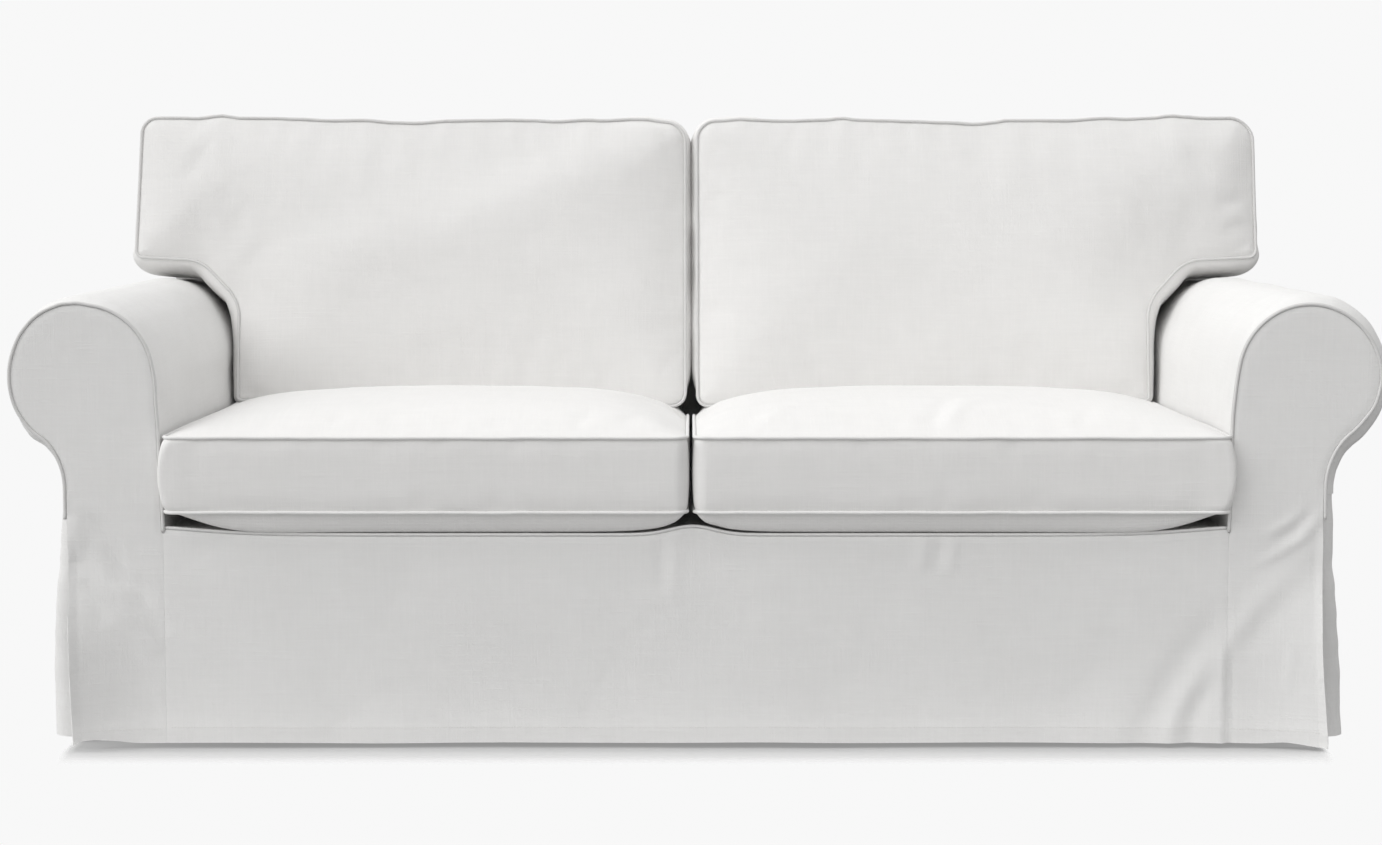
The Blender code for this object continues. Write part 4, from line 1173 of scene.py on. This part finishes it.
def back_cushion(side):
    sign = -1 if side == "left" else 1
    outline = divided(rounded(BACKS[side]), 0.0125)
    top_edge = BACKS[side][1][1]
    outline[:, 1] += wave(TOP_WAVES[side], outline[:, 0]) * ease(outline[:, 1], top_edge - 0.08, top_edge)

    def place(x, v, depth):
        sag = CUSHION_SAG + CORNER_SAG * ease(-np.abs(x), -0.20, -0.06)
        lifted = v + depth * math.tan(LEAN) * ease(-v, -0.08, 0.0) - sag * ease(-v, -0.09, 0.0)
        return np.stack([x, CUSHION_Y + lifted * math.sin(LEAN) + depth * math.cos(LEAN),
                         CUSHION_Z + lifted * math.cos(LEAN) - depth * math.sin(LEAN)], 1)

    def front(x, v, to_seam):
        return 0.88 * CUSHION_CROWN * grown(to_seam, 0.105, 0.88)

    def rear(x, v, to_seam):
        return 0.75 * CUSHION_REAR_CROWN * grown(to_seam, 0.06, 0.85)

    def puff(x, v, t):
        out = np.abs(x)
        above_seat = ease(v, 0.015, 0.05)
        neighbour = (out < 0.10) * ease(v, 0.008, 0.050) * (0.0079 + 0.0010 * drift(np.stack([v, 0 * v], 1), 0.03, 81)
                                                 + 0.0018 * bump(v, 0.270, 0.022) + 0.0018 * bump(v, 0.123, 0.022))
        beside_arm = (out > 0.60) * ease(v, -0.012, 0.002) * ease(-v, -0.24, -0.19)
        notch = 0.0113 + 0.0008 * sign + 0.0092 * ease(v, 0.075, 0.170) + 0.0036 * ease(out, 0.735, 0.790)
        elsewhere = 0.0050 * (out >= 0.10) * ease(v, 0.24, 0.30) + 0.0060 * (out > 0.80) * bump(v, 0.25, 0.03)
        full = math.sin(math.pi * t ** 0.65) ** 0.5
        return (neighbour + beside_arm * notch + elsewhere + 0.0015 * above_seat) * full

    def finish(shape, start, part, edge):
        flat = start[:, :2]
        face = part == 0
        soft = drift(flat, 0.15, 71 + sign) * 0.0030 * ease(edge, 0.0, 0.09)
        soft = soft + drift(flat * (1, 1), 0.05, 75 + sign) * 0.0007 * ease(edge, 0.0, 0.03)
        puckers = drift(flat, 0.022, 78 + sign) * 0.0012 * bump(edge, 0.014, 0.014)
        add = (soft + crease(flat, BACK_CREASES[side]) + puckers) * ease(edge, 0.0, 0.012)
        shape[:, 2] = np.where(face, np.minimum(shape[:, 2], CUSHION_CROWN) + add, shape[:, 2])
        shape[:, 2] = np.where(part == 1, np.maximum(shape[:, 2], -CUSHION_T - CUSHION_REAR_CROWN), shape[:, 2])
        return shape

    cushion(f"back_cushion_{side}", outline, CUSHION_T, (front, rear), puff, place, finish, 0.007,
            PAINTED_SHADE_PIPING_LINEN)


# ---------------------------------------------------------------- stage, light and camera

def stage():
    """A pale floor around the foot of the set, that fades into the plain background. Its colour darkens towards the
    foot as painted shadow, and it glows there as painted light.
    """
    reach = FLOOR_FADE[1] + 0.02
    half_x, half_y = FOOT_X + reach, FOOT_Y + reach
    mesh = bpy.data.meshes.new("floor")
    mesh.from_pydata([(-half_x, -half_y, 0), (half_x, -half_y, 0), (half_x, half_y, 0), (-half_x, half_y, 0)],
                     [], [(0, 1, 2, 3)])
    floor = bpy.data.objects.new("floor", mesh)
    bpy.context.scene.collection.objects.link(floor)
    pale = Finish("pale_floor", Roughness=1.0)
    pale.shader.inputs["Specular IOR Level"].default_value = 0.0
    place = pale.node("ShaderNodeTexCoord").outputs["Object"]
    split = pale.node("ShaderNodeSeparateXYZ", (), {"Vector": place})
    beside = pale.maths("MAXIMUM", Number(pale, split.outputs["X"]).size() - FOOT_X, 0.0)
    before = pale.maths("MAXIMUM", Number(pale, split.outputs["Y"]).size() - FOOT_Y, 0.0)
    beside = beside * SIDE_FADE
    away = (beside * beside + before * before) ** 0.5
    fade = pale.node("ShaderNodeMapRange", {"interpolation_type": "SMOOTHSTEP"},
                     {"Value": away, "From Min": FLOOR_FADE[0], "From Max": FLOOR_FADE[1], "To Min": 1.0, "To Max": 0.0})
    pale.feed(pale.shader.inputs["Alpha"], fade.outputs[0])
    # Painted shadow: the floor's colour darkens towards the foot of the set.
    pale.feed(pale.shader.inputs["Base Color"], pale.steps(away / FLOOR_FADE[1], FLOOR_PAINTED_SHADOW))
    # Painted light: the floor glows under the set and just beyond its foot.
    pale.feed(pale.shader.inputs["Emission Color"], pale.steps(away / FLOOR_FADE[1], FLOOR_PAINTED_LIGHT))
    pale.shader.inputs["Emission Strength"].default_value = 1.0
    mesh.materials.append(pale.material)


BACKGROUND = 0.938
FLOOR_FADE = (0.05, 0.10)       # from the foot of the set: whole floor, and plain background
FLOOR_PAINTED_SHADOW = [(0.0, 0.30), (0.14, 0.52), (0.35, 0.67), (0.6, 0.75), (1.0, 0.84)]   # over that width: painted shadow, the floor's colour darker towards the foot of the set
FLOOR_PAINTED_LIGHT = [(0.0, 0.23), (0.10, 0.10), (0.2, 0.03), (0.3, 0.0)]        # painted light: the floor glows under the set and just beyond its foot, so the gap under the hem is not black
SIDE_FADE = 5.0                 # it fades so many times faster beside the set
FOOT_X, FOOT_Y = 0.812, 0.421
ABOVE, BELOW = 0.94, 0.50       # light of the studio from above and from below
LOW_TONES = [(0.0, 0.92), (0.10, 0.92), (0.40, 1.0), (0.52, 1.0), (0.80, 0.35), (1.0, 0.30)]   # near the floor


def world():
    made = bpy.data.worlds.new("studio")
    bpy.context.scene.world = made
    made.use_nodes = True
    nodes, links = made.node_tree.nodes, made.node_tree.links
    height = nodes.new("ShaderNodeSeparateXYZ")
    links.new(nodes.new("ShaderNodeTexCoord").outputs["Generated"], height.inputs[0])
    rise = nodes.new("ShaderNodeMapRange")
    rise.inputs["From Min"].default_value, rise.inputs["From Max"].default_value = -0.15, 0.15
    links.new(height.outputs["Z"], rise.inputs["Value"])
    studio, seen = nodes.new("ShaderNodeMix"), nodes.new("ShaderNodeMix")
    studio.data_type = seen.data_type = "RGBA"
    sideways, low = nodes.new("ShaderNodeMapRange"), nodes.new("ShaderNodeMapRange")
    sideways.inputs["From Min"].default_value, sideways.inputs["From Max"].default_value = -1.0, 1.0
    low.inputs["From Min"].default_value, low.inputs["From Max"].default_value = 0.42, 0.02
    links.new(height.outputs["X"], sideways.inputs["Value"])
    links.new(height.outputs["Z"], low.inputs["Value"])
    tones = nodes.new("ShaderNodeValToRGB")
    for place, tone in LOW_TONES[1:-1]:
        tones.color_ramp.elements.new(place)
    for stop, (place, tone) in zip(tones.color_ramp.elements, LOW_TONES):
        stop.position, stop.color = place, (tone, tone, tone, 1)
    links.new(sideways.outputs[0], tones.inputs[0])
    shaded = nodes.new("ShaderNodeMix")
    shaded.data_type, shaded.blend_type = "RGBA", "MULTIPLY"
    links.new(low.outputs[0], shaded.inputs[0])
    links.new(studio.outputs[2], shaded.inputs[6])
    links.new(tones.outputs[0], shaded.inputs[7])
    links.new(rise.outputs[0], studio.inputs[0])
    studio.inputs[6].default_value = (BELOW, BELOW, BELOW, 1)
    studio.inputs[7].default_value = (ABOVE, ABOVE, ABOVE, 1)
    links.new(nodes.new("ShaderNodeLightPath").outputs["Is Camera Ray"], seen.inputs[0])
    links.new(shaded.outputs[2], seen.inputs[6])
    seen.inputs[7].default_value = (BACKGROUND, BACKGROUND, BACKGROUND, 1)
    links.new(seen.outputs[2], nodes["Background"].inputs["Color"])


def far_light(name, side, power, width):
    """A wide soft light from one side, so far off that it is even over the set."""
    data = bpy.data.lights.new(name, "SUN")
    data.energy = power
    data.angle = math.radians(width)
    lamp = bpy.data.objects.new(name, data)
    lamp.location = Vector(side) * 4.0
    lamp.rotation_euler = Vector(side).to_track_quat("Z", "Y").to_euler()
    bpy.context.scene.collection.objects.link(lamp)


def lights():
    far_light("left", (-0.72, -0.30, 0.62), 1.22, 40)


def camera():
    data = bpy.data.cameras.new("camera")
    data.sensor_fit = "HORIZONTAL"
    data.sensor_width = SENSOR
    data.lens = SENSOR * FOCAL_PIXELS / PICTURE_WIDTH
    data.shift_y = (LEVEL_ROW - PICTURE_HEIGHT / 2) / PICTURE_WIDTH
    made = bpy.data.objects.new("camera", data)
    made.location = CAMERA_PLACE
    made.rotation_euler = (math.pi / 2 - CAMERA_TILT, 0, 0)
    bpy.context.scene.collection.objects.link(made)
    bpy.context.scene.camera = made


def main():
    bpy.context.scene.view_settings.view_transform = "Standard"
    camera()
    body_cover()
    for side in ("left", "right"):
        seat_cushion(side)
        back_cushion(side)
    stage()
    world()
    lights()


main()
